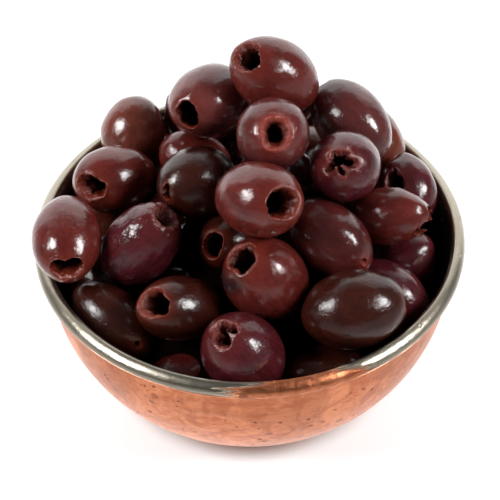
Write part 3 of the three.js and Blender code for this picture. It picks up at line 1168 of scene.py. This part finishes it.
@dataclass
class Heap:
    """Where the olives lie: those with a set place, and the layers under them, all settled into the bowl.

    The spots of the layers follow a spiral, and the beats vary the olives on it.
    """

    bowl: Bowl
    peak: tuple[float, float] = (5.0, 12.0)
    peak_height: float = 93.0
    foot_radius: float = 50.0
    foot_height: float = 47.0
    mound_power: float = 1.4
    clearance: float = 0.5
    squeeze: float = 0.6
    shown_give: float = 0.05
    loose_give: float = 1.0
    settle_rounds: int = 60
    layer_depths: tuple[float, ...] = (14.0, 28.0, 42.0)
    layer_spots: int = 170
    layer_reach: float = 46.5
    lowest_centre: float = 25.0
    layer_length: float = 24.5
    layer_width: float = 18.2
    layer_spread: float = 1.4
    length_beat: float = 2.3
    width_beat: float = 3.1
    heading_beat: float = 1.7
    tightest: float = 4.0

    def mound_height(self, x: float, y: float) -> float:
        """The level of the topmost olives' centres over a place.

        Args:
            x: The place along X.
            y: The place along Y.

        Returns:
            The height above the table.
        """
        away = (x - self.peak[0], y - self.peak[1])
        lean = away[0] * self.peak[0] + away[1] * self.peak[1]
        span = self.foot_radius**2 - self.peak[0] ** 2 - self.peak[1] ** 2
        share = (lean + math.sqrt(lean**2 + span * (away[0] ** 2 + away[1] ** 2))) / span
        return self.peak_height - (self.peak_height - self.foot_height) * share**self.mound_power

    def contact(self, one: Lying, other: Lying) -> np.ndarray | None:
        """The push that would part two olives at their deepest contact.

        Args:
            one: The olive that is pushed.
            other: The one that it is pushed from.

        Returns:
            The push, or None where they don't touch.
        """
        if np.linalg.norm(one.centre - other.centre) > (one.length + other.length) / 2:
            return None
        places, radii = one.beads()
        other_places, other_radii = other.beads()
        gaps = places[:, None] - other_places[None]
        lengths = np.sqrt((gaps**2).sum(-1))
        depths = radii[:, None] + other_radii[None] - lengths
        worst = np.unravel_index(np.argmax(depths), depths.shape)
        if depths[worst] <= 0:
            return None
        return gaps[worst] / lengths[worst] * depths[worst]

    def bowl_push(self, place: np.ndarray, radius: float) -> np.ndarray | None:
        """The push that keeps a bead off the floor and inside the wall, or off the lip when it is that high.

        Args:
            place: The bead's middle.
            radius: Its radius.

        Returns:
            The push, or None where it is clear of the bowl.
        """
        reach = math.hypot(place[0], place[1])
        outwards = np.array([place[0] / reach, place[1] / reach, 0.0])
        room = radius + self.squeeze + self.clearance
        lip_half = (self.bowl.rim_radius - self.bowl.mouth_radius + self.bowl.wall) / 2
        lip_height = self.bowl.crest - lip_half
        if place[2] > lip_height:
            lip = outwards * (self.bowl.rim_radius - lip_half) + np.array([0, 0, lip_height])
            gap = place - lip
            length = np.linalg.norm(gap)
            over = room + lip_half - length
            return gap / length * over if over > 0 else None

        def wall(z: float) -> float:
            """The inside radius at a height."""
            return self.bowl.radius(z, self.bowl.wall, self.bowl.floor)

        spread = wall(place[2] + 0.5) - wall(place[2] - 0.5)
        inwards = np.array([-outwards[0], -outwards[1], spread]) / math.hypot(1, spread)
        over = max(room + (reach - wall(place[2])) / math.hypot(1, spread), 0.0)
        sunk = max(self.bowl.floor + room - place[2], 0.0)
        return inwards * over + np.array([0, 0, sunk]) if over + sunk > 0 else None

    def layer_olive(self, spot: int, depth: float) -> Lying:
        """An olive at a spot of a spiral over the mound, lying along its slope.

        Args:
            spot: The spot's number.
            depth: How far the olive is under the mound.

        Returns:
            The olive.
        """
        share = math.sqrt((spot + 0.5) / self.layer_spots)
        turn = spot * GOLDEN_ANGLE
        x = self.peak[0] * (1 - share) + self.foot_radius * share * math.cos(turn)
        y = self.peak[1] * (1 - share) + self.foot_radius * share * math.sin(turn)
        slope = unit(np.array([
            self.mound_height(x - 1, y) - self.mound_height(x + 1, y),
            self.mound_height(x, y - 1) - self.mound_height(x, y + 1),
            2.0,
        ]))
        heading = self.heading_beat * turn
        level = np.array([math.cos(heading), math.sin(heading), 0.0])
        axis = unit(level - level.dot(slope) * slope)
        return Lying(
            np.array([x, y, self.mound_height(x, y) - depth]),
            axis,
            axis,
            self.layer_length + self.layer_spread * math.sin(self.length_beat * spot),
            self.layer_width + 0.5 * self.layer_spread * math.cos(self.width_beat * spot),
            self.loose_give,
        )

    def fits(self, olive: Lying, others: list[Lying]) -> bool:
        """Whether settling could make room for an olive.

        Args:
            olive: The olive.
            others: Those that already lie in the heap.

        Returns:
            Whether it could.
        """
        x, y, height = olive.centre
        if math.hypot(x, y) > self.layer_reach or height < self.lowest_centre:
            return False
        pushes = [self.bowl_push(place, radius) for place, radius in zip(*olive.beads())]
        pushes += [self.contact(olive, other) for other in others]
        return all(push is None or np.linalg.norm(push) < self.tightest for push in pushes)

    def settle(self, olives: list[Lying]) -> None:
        """Parts olives that cross each other or the bowl, a little in each round.

        Args:
            olives: The olives, which are moved.
        """
        for _ in range(self.settle_rounds):
            for i, one in enumerate(olives):
                for other in olives[i + 1:]:
                    push = self.contact(one, other)
                    if push is None:
                        continue
                    share = one.give / (one.give + other.give)
                    one.centre = one.centre + push * share / 2
                    other.centre = other.centre + push * (share - 1) / 2
                for place, radius in zip(*one.beads()):
                    push = self.bowl_push(place, radius)
                    if push is not None:
                        one.centre = one.centre + push

    def olives(self) -> list[Lying]:
        """All olives of the heap, settled.

        Returns:
            The olives.
        """
        lying = []
        for olive in SHOWN_OLIVES + BACK_OLIVES:
            axis = direction(olive.heading, olive.rise)
            mouth = direction(*olive.hole) if olive.hole else axis
            give = self.shown_give if olive in SHOWN_OLIVES else self.loose_give
            centre = np.array(olive.at, float)
            lying.append(Lying(centre, axis, mouth, olive.length, olive.width, give, olive))
        for depth in self.layer_depths:
            for spot in range(self.layer_spots):
                olive = self.layer_olive(spot, depth)
                if self.fits(olive, lying):
                    lying.append(olive)
        self.settle(lying)
        return lying


@dataclass
class OliveMaker:
    """Makes the mesh of an olive: its skin, the torn rim of its hole and the hollow inside.

    The rows of the skin start a little off the far end, the tip, and are spaced by a power. The relief of the
    skin is made of swells and folds, and that of the torn flesh of tears with finer shreds on them.
    """

    sides: int = 84
    skin_rows: int = 48
    rim_rows: int = 14
    hollow_rows: int = 14
    tip_gap: float = 0.01
    row_power: float = 0.85
    widest_hole: float = 0.9
    shoulder: float = 0.45
    overhang: float = 0.08
    overhang_depth: float = 0.15
    rim_depth: float = 0.9
    pinch: float = 0.13
    hollow_depth: float = 11.0
    hollow_end: float = 0.97
    hollow_swell: float = 0.5
    hollow_beat: float = 1.3
    wave_count: int = 5
    wave_depth: float = 0.14
    flap_reach: float = 0.3
    flap_unevenness: float = 0.6
    widest_flap: float = 1.4
    flap_narrowing: float = 0.12
    swell: float = 0.5
    swell_level: float = 0.4
    swell_counts: tuple[float, float] = (1.6, 3.4)
    swell_places: tuple[float, float] = (5.0, 9.0)
    fold_depth: float = 0.45
    fold_size: float = 6.5
    least_tear: float = 0.16
    tear: float = 0.55
    tear_size: float = 1.5
    shred: float = 0.4
    shred_size: float = 0.6
    browning: float = 0.78
    funnel_browning: float = 0.52
    splashes: float = 0.0015
    rim_wet: float = 0.3
    hollow_wet: float = 0.15
    # painted shade in the hole: its share at the rim's inner end, and how fast it grows down the hollow
    rim_shade: float = 0.2
    hollow_shading: float = 2.2
    bruise_edge: float = 0.8
    bruise_fade: float = 0.12
    fibre_reach: float = 3.5
    fibre_scale: float = 0.3
    own_spread: float = 400.0
    fibre_spread: float = 40.0

    def profile(self, radius: float, mouth: np.ndarray, funnel: np.ndarray) -> np.ndarray:
        """The rows of a holed ball for each heading round its hole, from the far side into the hollow.

        Args:
            radius: The ball's radius.
            mouth: The hole's radius for each heading.
            funnel: The width of the torn rim for each heading.

        Returns:
            Radius and height of every row and heading.
        """
        edge = np.arcsin(np.clip((mouth + funnel) / radius, 0, self.widest_hole))
        shares = np.linspace(self.tip_gap, 1, self.skin_rows) ** self.row_power
        angles = math.pi + (edge - math.pi) * shares[:, None]
        skin = radius * np.stack([np.sin(angles), np.cos(angles)], -1)
        brim = skin[-1]
        along = np.stack([-np.cos(edge), np.sin(edge)], -1)
        drop = funnel / 2 + self.rim_depth
        shoulder = brim + along * (self.shoulder * funnel)[:, None]
        turn = np.stack([mouth + self.overhang * funnel, brim[:, 1] - self.overhang_depth * drop], -1)
        foot = np.stack([mouth, brim[:, 1] - drop], -1)
        rim = bezier([brim, shoulder, turn, foot], self.steps(self.rim_rows))
        deep = self.hollow_end * self.steps(self.hollow_rows)[:, None]
        belly = mouth + self.hollow_swell * np.sin(math.pi * np.clip(self.hollow_beat * deep, 0, 1))
        inside = np.stack([belly * np.sqrt(1 - deep**4), foot[:, 1] - self.hollow_depth * deep], -1)
        return np.concatenate([skin, rim, inside])

    def steps(self, rows: int) -> np.ndarray:
        """Shares from just past 0 to 1 for a number of rows."""
        return np.arange(1, rows + 1) / rows

    def mouth(self, looks: Olive, turns: np.ndarray,
              random: np.random.Generator) -> tuple[np.ndarray, np.ndarray, np.ndarray]:
        """The outline of the hole.

        Args:
            looks: The olive's looks.
            turns: The headings round the hole.
            random: Draws the waves and flaps of the outline.

        Returns:
            The hole's radius, the rim's width and how far a flap closes the hole, for each heading.
        """
        *wave_phases, flap_phase, lean_phase = random.uniform(0, 2 * math.pi, self.wave_count + 2)
        waves = sum(np.sin((k + 2) * turns + phase) / (k + 1.5) for k, phase in enumerate(wave_phases))
        oval = looks.oval * np.cos(2 * (turns - math.radians(looks.oval_turn)))
        flaps = np.cos(looks.flaps * turns + flap_phase)
        flaps *= 1 + self.flap_unevenness * np.sin(turns + lean_phase)
        flaps = np.clip(flaps, -1, self.widest_flap) if looks.flaps else np.zeros(self.sides)
        mouth = looks.mouth * (1 + oval + self.wave_depth * looks.ragged * waves - self.flap_reach * flaps)
        funnel = looks.funnel * (1 + looks.lean * np.cos(turns - math.radians(looks.side)))
        return mouth, funnel, np.clip(flaps, 0, None)

    def torn(self, looks: Olive, rows: np.ndarray, flaps: np.ndarray, relief: Relief) -> None:
        """Tears the rows of the rim and the hollow, in place.

        Args:
            looks: The olive's looks.
            rows: The places of the rows past the skin, about the hole's axis.
            flaps: How far a flap closes the hole, for each heading round it.
            relief: The random relief of the tears.
        """
        shares = self.steps(self.rim_rows)
        strength = np.concatenate([np.sin(0.5 * math.pi * shares), np.linspace(1, 0.5, self.hollow_rows)])
        depth = (self.least_tear + self.tear * looks.ragged) * strength[:, None, None]
        tears, shreds = relief.shift(rows / self.tear_size), relief.shift(rows / self.shred_size)
        rows += depth * tears + self.shred * depth * shreds
        lift = looks.flap * np.sin(math.pi * shares)[:, None] * flaps**2
        rim = rows[: self.rim_rows]
        rim[..., 2] += lift
        rim[..., :2] *= 1 - self.flap_narrowing * lift[..., None]

    def skin_swell(self, looks: Olive, outward: np.ndarray, radius: float, relief: Relief) -> np.ndarray:
        """How far the skin stands out of or sinks into the ball.

        Args:
            looks: The olive's looks.
            outward: Directions from the ball's middle.
            radius: The ball's radius.
            relief: The random relief of the skin.

        Returns:
            The swell in each direction.
        """
        wide, fine = (relief.at(count * outward + place)
                      for count, place in zip(self.swell_counts, self.swell_places))
        swell = self.swell * looks.lumps * (wide + 0.5 * fine - self.swell_level)
        if looks.wrinkle:
            ridges = 1 - np.abs(relief.shift(outward * radius / self.fold_size)).min(-1)
            swell -= self.fold_depth * looks.wrinkle * ridges**3
        return swell

    def shape(self, lying: Lying, looks: Olive, seed: int, shade: float = 1.0) -> Shape:
        """One olive's shape.

        Args:
            lying: Where it lies.
            looks: Its looks.
            seed: Of its dents and tears.
            shade: How much light it gets among the others, from 0 to 1.

        Returns:
            The shape, in the part's frame.
        """
        random = np.random.default_rng(seed)
        relief = Relief(seed)
        turns = np.linspace(0, 2 * math.pi, self.sides, endpoint=False)
        radius = lying.width / 2
        draw = lying.length / lying.width
        mouth, funnel, flaps = self.mouth(looks, turns, random)
        rows = self.profile(radius, mouth, funnel)
        local = np.stack([rows[..., 0] * np.cos(turns), rows[..., 0] * np.sin(turns), rows[..., 1]], -1)
        skin = local[: self.skin_rows]
        outward = unit(skin)
        swell = outward * self.skin_swell(looks, outward, radius, relief)[..., None]
        skin += swell
        fading = np.linspace(1, 0, self.rim_rows + self.hollow_rows)
        local[self.skin_rows:] += swell[-1] * fading[:, None, None]
        self.torn(looks, local[self.skin_rows:], flaps, relief)
        points = np.concatenate([local.reshape(-1, 3), [local[0].mean(0), local[-1].mean(0)]])
        ball = points @ self.hole_basis(lying, draw)
        height = ball @ lying.axis
        across = ball - height[:, None] * lying.axis
        across *= (1 - self.pinch * np.abs(height / radius) ** 4)[:, None]
        placed = across + draw * height[:, None] * lying.axis
        numbers = self.numbers(looks, funnel, rows, shade)
        facing = unit(ball) @ direction(*looks.bruise) if looks.bruise else np.zeros(len(ball))
        numbers["bruise"] = np.clip((facing - self.bruise_edge) / self.bruise_fade, 0, 1)
        vectors = self.vectors(placed, lying, turns, rows, random)
        return Shape(placed + lying.centre, closed_faces(len(local), self.sides), numbers, vectors)

    def hole_basis(self, lying: Lying, draw: float) -> np.ndarray:
        """The hole's frame on the ball, before the ball is drawn out along the olive's axis.

        Args:
            lying: Where the olive lies.
            draw: How far the ball is drawn out.

        Returns:
            Level, up and outward at the hole, as rows.
        """
        along = lying.mouth @ lying.axis
        outward = unit(lying.mouth + (1 / draw - 1) * along * lying.axis)
        level = unit(np.cross([0.0, 0.0, 1.0], outward))
        return np.stack([level, np.cross(outward, level), outward])

    def numbers(self, looks: Olive, funnel: np.ndarray, rows: np.ndarray,
                shade: float) -> dict[str, np.ndarray]:
        """The number attributes of an olive's points, which its finish reads.

        Args:
            looks: The olive's looks.
            funnel: The width of the torn rim for each heading.
            rows: Radius and height of every row and heading.
            shade: How much light it gets.

        Returns:
            The attributes by name.
        """
        shares = self.steps(self.rim_rows)
        skin, hollow = np.zeros(self.skin_rows), np.ones(self.hollow_rows)
        # painted shade of the rim's inner end and of the hollow, which the finish reads as deep
        rim_shade_mask = np.clip(3 * shares - 2, 0, 1) * self.rim_shade
        hollow_shade_mask = np.clip(self.rim_shade + self.hollow_shading * self.steps(self.hollow_rows), 0, 1)
        rim_wet = np.sin(math.pi * shares) * (self.rim_wet + looks.ragged)
        columns = {
            "flesh": np.concatenate([skin, np.clip(3 * shares, 0, 1), hollow]),
            "deep": np.concatenate([skin, rim_shade_mask, hollow_shade_mask]),
            "wet": np.concatenate([skin + self.splashes, rim_wet, self.hollow_wet * hollow]),
        }
        spread = {name: np.repeat(values, self.sides) for name, values in columns.items()}
        away = np.linalg.norm(rows - rows[self.skin_rows - 1], axis=-1)
        reach = self.browning + self.funnel_browning * funnel
        spread["rim"] = np.exp(-((away / reach) ** 2)).ravel()
        ends = {"flesh": (0, 1), "deep": (0, 1), "wet": (0, 0), "rim": (0, 0)}
        numbers = {name: np.append(values, ends[name]) for name, values in spread.items()}
        whole = {"wrinkle": looks.wrinkle, "fleck": looks.flecked, "shade": shade, "pale": looks.pale}
        count = len(rows) * self.sides + 2
        numbers.update({name: np.full(count, value) for name, value in whole.items()})
        return numbers

    def vectors(self, placed: np.ndarray, lying: Lying, turns: np.ndarray, rows: np.ndarray,
                random: np.random.Generator) -> dict[str, np.ndarray]:
        """The vector attributes of an olive's points: places in its own frame, and the run of its fibres.

        Args:
            placed: The points about the olive's middle.
            lying: Where it lies.
            turns: The headings round the hole.
            rows: Radius and height of every row and heading.
            random: Draws a place in the finish's patterns for each olive.

        Returns:
            The attributes by name.
        """
        beside = [0.0, 1.0, 0.0] if lying.upright() else [0.0, 0.0, 1.0]
        level = unit(np.cross(beside, lying.axis))
        own = placed @ np.stack([level, np.cross(lying.axis, level), lying.axis]).T
        circle = self.fibre_reach * np.stack([np.cos(turns), np.sin(turns)], -1)
        fibre = np.concatenate([
            np.broadcast_to(circle, (*rows.shape[:2], 2)),
            self.fibre_scale * (rows[..., 0] - rows[..., 1])[..., None],
        ], -1).reshape(-1, 3)
        fibre = np.concatenate([fibre, np.zeros((2, 3))])
        return {"own": own + random.uniform(-self.own_spread, self.own_spread, 3),
                "fibre": fibre + random.uniform(-self.fibre_spread, self.fibre_spread, 3)}


@dataclass
class OlivePile:
    """The olives as pieces: one for each tone, and one for the wet specks on them."""

    heap: Heap
    maker: OliveMaker = field(default_factory=OliveMaker)
    under_maker: OliveMaker = field(
        default_factory=lambda: OliveMaker(sides=36, skin_rows=22, rim_rows=5, hollow_rows=6))
    # painted shade of the olives under the others, which darkens their colour
    under_shade: float = 0.45
    under_lean: float = 0.05
    specks: float = 0.9
    speck_sizes: tuple[float, float] = (0.1, 0.26)
    speck_flatness: float = 0.6
    speck_sides: int = 8
    speck_rings: int = 5
    speck_seed: int = 4

    def build(self) -> list[bpy.types.Object]:
        """Makes and dresses the olives.

        Returns:
            The pieces.
        """
        lying = self.heap.olives()
        log.info("%d olives in the heap", len(lying))
        tones = list(Tone)
        shapes: dict[Tone, list[Shape]] = {tone: [] for tone in tones}
        under: dict[Tone, list[Lying]] = {tone: [] for tone in tones}
        for index, olive in enumerate(lying):
            if olive.looks:
                shapes[olive.looks.tone].append(self.maker.shape(olive, olive.looks, index))
            else:
                under[tones[index % len(tones)]].append(olive)
        pieces = []
        for number, tone in enumerate(tones):
            piece = Shape.joined(shapes[tone]).piece(f"olives_{tone.value}")
            self.bed(piece, under[tone], tone, number)
            pieces.append(piece)
        shown = Shape.joined([shape for tone in tones for shape in shapes[tone]])
        pieces.append(self.wet_specks(shown.piece("wet_specks")))
        return pieces

    def bed(self, piece: bpy.types.Object, under: list[Lying], tone: Tone, seed: int) -> None:
        """Adds the lower olives of one tone to those that show, as copies of one, and dresses the piece.

        Args:
            piece: The piece with the olives that show.
            under: Where the others lie.
            tone: Their tone.
            seed: Of the copied olive's dents and tears.
        """
        heap = self.heap
        up = np.array([0.0, 0.0, 1.0])
        mouth = unit(np.array([self.under_lean, 0.0, 1.0]))
        upright = Lying(np.zeros(3), up, mouth, heap.layer_length, heap.layer_width, heap.loose_give)
        looks = Olive((0, 0, 0), 0, 90, heap.layer_length, heap.layer_width, tone)
        olive = self.under_maker.shape(upright, looks, seed, self.under_shade).piece("under_olive")
        turns = [Vector(lying.axis).to_track_quat("Z", "Y").to_euler() for lying in under]
        widths = np.array([lying.width for lying in under]) / heap.layer_width
        lengths = np.array([lying.length for lying in under]) / heap.layer_length
        spots = {"lie": np.array(turns), "size": np.stack([widths, widths, lengths], -1)}
        places = Shape(np.array([lying.centre for lying in under]), [], {}, spots).piece("under_places")
        nodes, start = new_tree("under_layers", {"Olive": "Object", "Places": "Object", "Skin": "Material"})
        parts = {name: nodes.add("GeometryNodeObjectInfo", None, {"Object": start[name]}).outputs["Geometry"]
                 for name in ("Olive", "Places")}
        lie, size = (named_attribute(nodes, name, "FLOAT_VECTOR") for name in ("lie", "size"))
        turned = nodes.add("FunctionNodeEulerToRotation", None, [lie]).outputs[0]
        copies = nodes.add("GeometryNodeInstanceOnPoints", None, {
            "Points": parts["Places"], "Instance": parts["Olive"], "Rotation": turned, "Scale": size,
        }).outputs[0]
        joined = nodes.add("GeometryNodeJoinGeometry")
        nodes.tree.links.new(copies, joined.inputs[0])
        nodes.tree.links.new(start["Geometry"], joined.inputs[0])
        finish_tree(nodes, joined.outputs[0], start["Skin"])
        apply_tree(piece, nodes, {"Olive": olive, "Places": places, "Skin": SKINS[tone].material()})
        for used in (olive, places):
            bpy.data.objects.remove(used)

    def wet_specks(self, piece: bpy.types.Object) -> bpy.types.Object:
        """Turns the olives that show into the specks of wet flesh on the rims of their holes.

        Args:
            piece: An object with those olives.

        Returns:
            The object with the specks alone.
        """
        kinds = {"Specks": "Float", "Smallest": "Float", "Largest": "Float", "Seed": "Int",
                 "Skin": "Material"}
        nodes, start = new_tree("wet_specks", kinds)
        density = Value(nodes, named_attribute(nodes, "wet", "FLOAT")) * Value(nodes, start["Specks"])
        spread = nodes.add("GeometryNodeDistributePointsOnFaces", {"distribute_method": "RANDOM"}, {
            "Mesh": start["Geometry"], "Density": density, "Seed": start["Seed"],
        }).outputs
        ball = nodes.add("GeometryNodeMeshUVSphere", None, {
            "Segments": self.speck_sides, "Rings": self.speck_rings, "Radius": 1.0,
        }).outputs[0]
        smooth = nodes.add("GeometryNodeSetShadeSmooth", None, [ball]).outputs[0]
        least, most, seed, drawn = 2, 3, 8, 1  # the sockets of a Random Value node that draws floats
        size = nodes.add("FunctionNodeRandomValue", {"data_type": "FLOAT"}, {
            least: start["Smallest"], most: start["Largest"], seed: start["Seed"],
        }).outputs[drawn]
        flat = nodes.add("ShaderNodeVectorMath", {"operation": "SCALE"},
                         {0: (1.0, 1.0, self.speck_flatness), "Scale": size})
        copies = nodes.add("GeometryNodeInstanceOnPoints", None, {
            "Points": spread["Points"], "Instance": smooth, "Rotation": spread["Rotation"],
            "Scale": flat.outputs[0],
        }).outputs[0]
        finish_tree(nodes, copies, start["Skin"])
        apply_tree(piece, nodes, {
            "Specks": self.specks / MM**2, "Smallest": self.speck_sizes[0] * MM,
            "Largest": self.speck_sizes[1] * MM, "Seed": self.speck_seed, "Skin": SpeckFinish().material(),
        })
        return piece


@dataclass
class ShadeCore:
    """Painted shade: a dark mass between the lowest olives, which fills the bottom of the bowl."""

    heap: Heap
    peak_height: float = 64.0
    foot_height: float = 32.0
    clearance: float = 1.0
    sides: int = 96
    steps: int = 16

    def build(self) -> bpy.types.Object:
        """Makes and dresses the core.

        Returns:
            The core's piece.
        """
        bowl = self.heap.bowl
        inset, floor = bowl.wall + self.clearance, bowl.floor + self.clearance
        heights = bowl.heights(self.foot_height, floor, self.steps)[::-1]
        filling = [(bowl.radius(z, inset, floor), z) for z in heights]
        foot = filling[-1][0]
        shares = np.arange(self.steps - 1, 0, -1) / self.steps
        drop = self.peak_height - self.foot_height
        mound = [(foot * share, self.peak_height - drop * share**self.heap.mound_power) for share in shares]
        ring = np.array([*filling, *mound])
        fallen = np.clip((self.peak_height - ring[:, 1]) / drop, 0, 1)
        lean = 1 - fallen ** (1 / self.heap.mound_power)
        ends = [[0, 0, floor], [*self.heap.peak, self.peak_height]]
        points = turned_points(ring, self.sides, ends, lean[:, None] * np.array(self.heap.peak))
        shape = Shape(points, closed_faces(len(ring), self.sides))
        return shape.piece("heap_core", GapShadeFinish().material())


# ---- Studio ----


@dataclass
class Studio:
    """A white table top, two soft round lamps at the sides, a white surround and the camera.

    The surround's levels are radiances. Each fade is the pair of heights, on a unit ball, between which one
    part of it gives way to the next.
    """

    target: tuple[float, float, float] = (0.1, 0.0, 43.2)
    elevation: float = 44.5
    roll: float = -0.5
    distance: float = 650.0
    focal_pixels: float = 2315.0
    picture_width: float = 500.0
    sensor: float = 36.0
    floor_radius: float = 4000.0
    floor_sides: int = 64
    lamp_directions: tuple[tuple[float, float, float], ...] = ((-0.77, -0.24, 0.59), (0.77, -0.24, 0.59))
    lamp_distance: float = 1200.0
    lamp_size: float = 480.0
    lamp_radiance: float = 21.0
    wall: float = 1.5
    fill: float = 1.1
    ceiling: float = 0.35
    table: float = 0.45
    under: float = 0.95
    front: float = 0.08
    wall_shift: float = 0.08
    wall_slope: float = 0.68
    wall_sides: tuple[float, float] = (-0.1, 0.14)
    wall_fade: tuple[float, float] = (0.84, 0.7)
    ceiling_fade: tuple[float, float] = (0.98, 0.86)
    front_fade: tuple[float, float] = (0.05, -0.07)
    table_fade: tuple[float, float] = (-0.3, -0.6)

    def build(self) -> None:
        """Makes the floor, the lights, the surround and the camera."""
        self.make_floor()
        self.make_lamps()
        self.make_surround()
        self.make_camera()

    def make_floor(self) -> None:
        """Makes the table top."""
        turns = np.linspace(0, 2 * math.pi, self.floor_sides, endpoint=False)
        points = np.stack([np.cos(turns), np.sin(turns), 0 * turns], -1) * self.floor_radius
        floor = Shape(points, [tuple(range(len(turns)))]).piece("floor", FloorFinish().material())
        floor.visible_glossy = False

    def make_lamps(self) -> None:
        """Makes the two soft lamps."""
        for index, towards in enumerate(self.lamp_directions):
            light = bpy.data.lights.new(f"lamp_{index}", "AREA")
            light.shape = "DISK"
            light.size = self.lamp_size * MM
            light.energy = self.lamp_radiance * (math.pi * light.size) ** 2 / 4
            lamp = bpy.data.objects.new(f"lamp_{index}", light)
            towards_lamp = Vector(towards).normalized()
            lamp.location = (Vector(self.target) + towards_lamp * self.lamp_distance) * MM
            lamp.rotation_euler = towards_lamp.to_track_quat("Z", "Y").to_euler()
            bpy.context.scene.collection.objects.link(lamp)

    def make_surround(self) -> None:
        """Makes the world: a white wall at the back, dimmer above, a pale table below and dark elsewhere."""
        world = bpy.data.worlds.new("surround")
        bpy.context.scene.world = world
        world.use_nodes = True
        nodes = Nodes(world.node_tree)
        towards = nodes.add("ShaderNodeTexCoord").outputs["Generated"]
        parts = nodes.add("ShaderNodeSeparateXYZ", None, [towards])
        across, back, up = (Value(nodes, socket) for socket in parts.outputs)
        path = nodes.add("ShaderNodeLightPath").outputs
        behind = (back - abs(across + self.wall_shift) * self.wall_slope).step(*self.wall_sides)
        near = nodes.mix(up.step(*self.table_fade), grey(self.table), grey(self.under))
        table = nodes.mix(up.step(*self.front_fade), grey(self.front), near)
        dim = nodes.mix(up.step(*self.ceiling_fade) * behind, table, grey(self.ceiling))
        wall = nodes.mix(Value(nodes, path["Is Diffuse Ray"]), grey(self.wall), grey(self.fill))
        seen = nodes.mix(up.step(*self.wall_fade) * behind, dim, wall)
        colour = nodes.mix(Value(nodes, path["Is Camera Ray"]), seen, grey(1.0))
        nodes.feed(nodes.tree.nodes["Background"], {"Color": colour})

    def make_camera(self) -> None:
        """Makes the camera that looks down on the front of the dish."""
        lift, turn = math.radians(self.elevation), math.radians(self.roll)
        back = Vector((0, -math.cos(lift), math.sin(lift)))
        level = Vector((1, 0, 0))
        upright = back.cross(level)
        right = level * math.cos(turn) + upright * math.sin(turn)
        up = upright * math.cos(turn) - level * math.sin(turn)
        data = bpy.data.cameras.new("camera")
        data.sensor_width = self.sensor
        data.lens = self.focal_pixels / self.picture_width * self.sensor
        camera = bpy.data.objects.new("camera", data)
        rows = Matrix((right, up, back)).transposed().to_4x4()
        rows.translation = (Vector(self.target) + back * self.distance) * MM
        camera.matrix_world = rows
        bpy.context.scene.collection.objects.link(camera)
        bpy.context.scene.camera = camera


def main() -> None:
    """Builds the dish round its frame and lights it."""
    logging.basicConfig(level=logging.INFO, format="%(name)s: %(message)s")
    bpy.context.scene.view_settings.view_transform = "Standard"
    Studio().build()
    bowl = Bowl()
    heap = Heap(bowl)
    copper = bowl.build()
    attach(copper, "root")
    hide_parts("bowl")
    log.info("%s: %d faces", copper.name, len(copper.data.polygons))
    for piece in [*OlivePile(heap).build(), ShadeCore(heap).build()]:
        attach(piece, "root")
        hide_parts("olives")
        log.info("%s: %d faces", piece.name, len(piece.data.polygons))


if __name__ == "__main__":
    main()
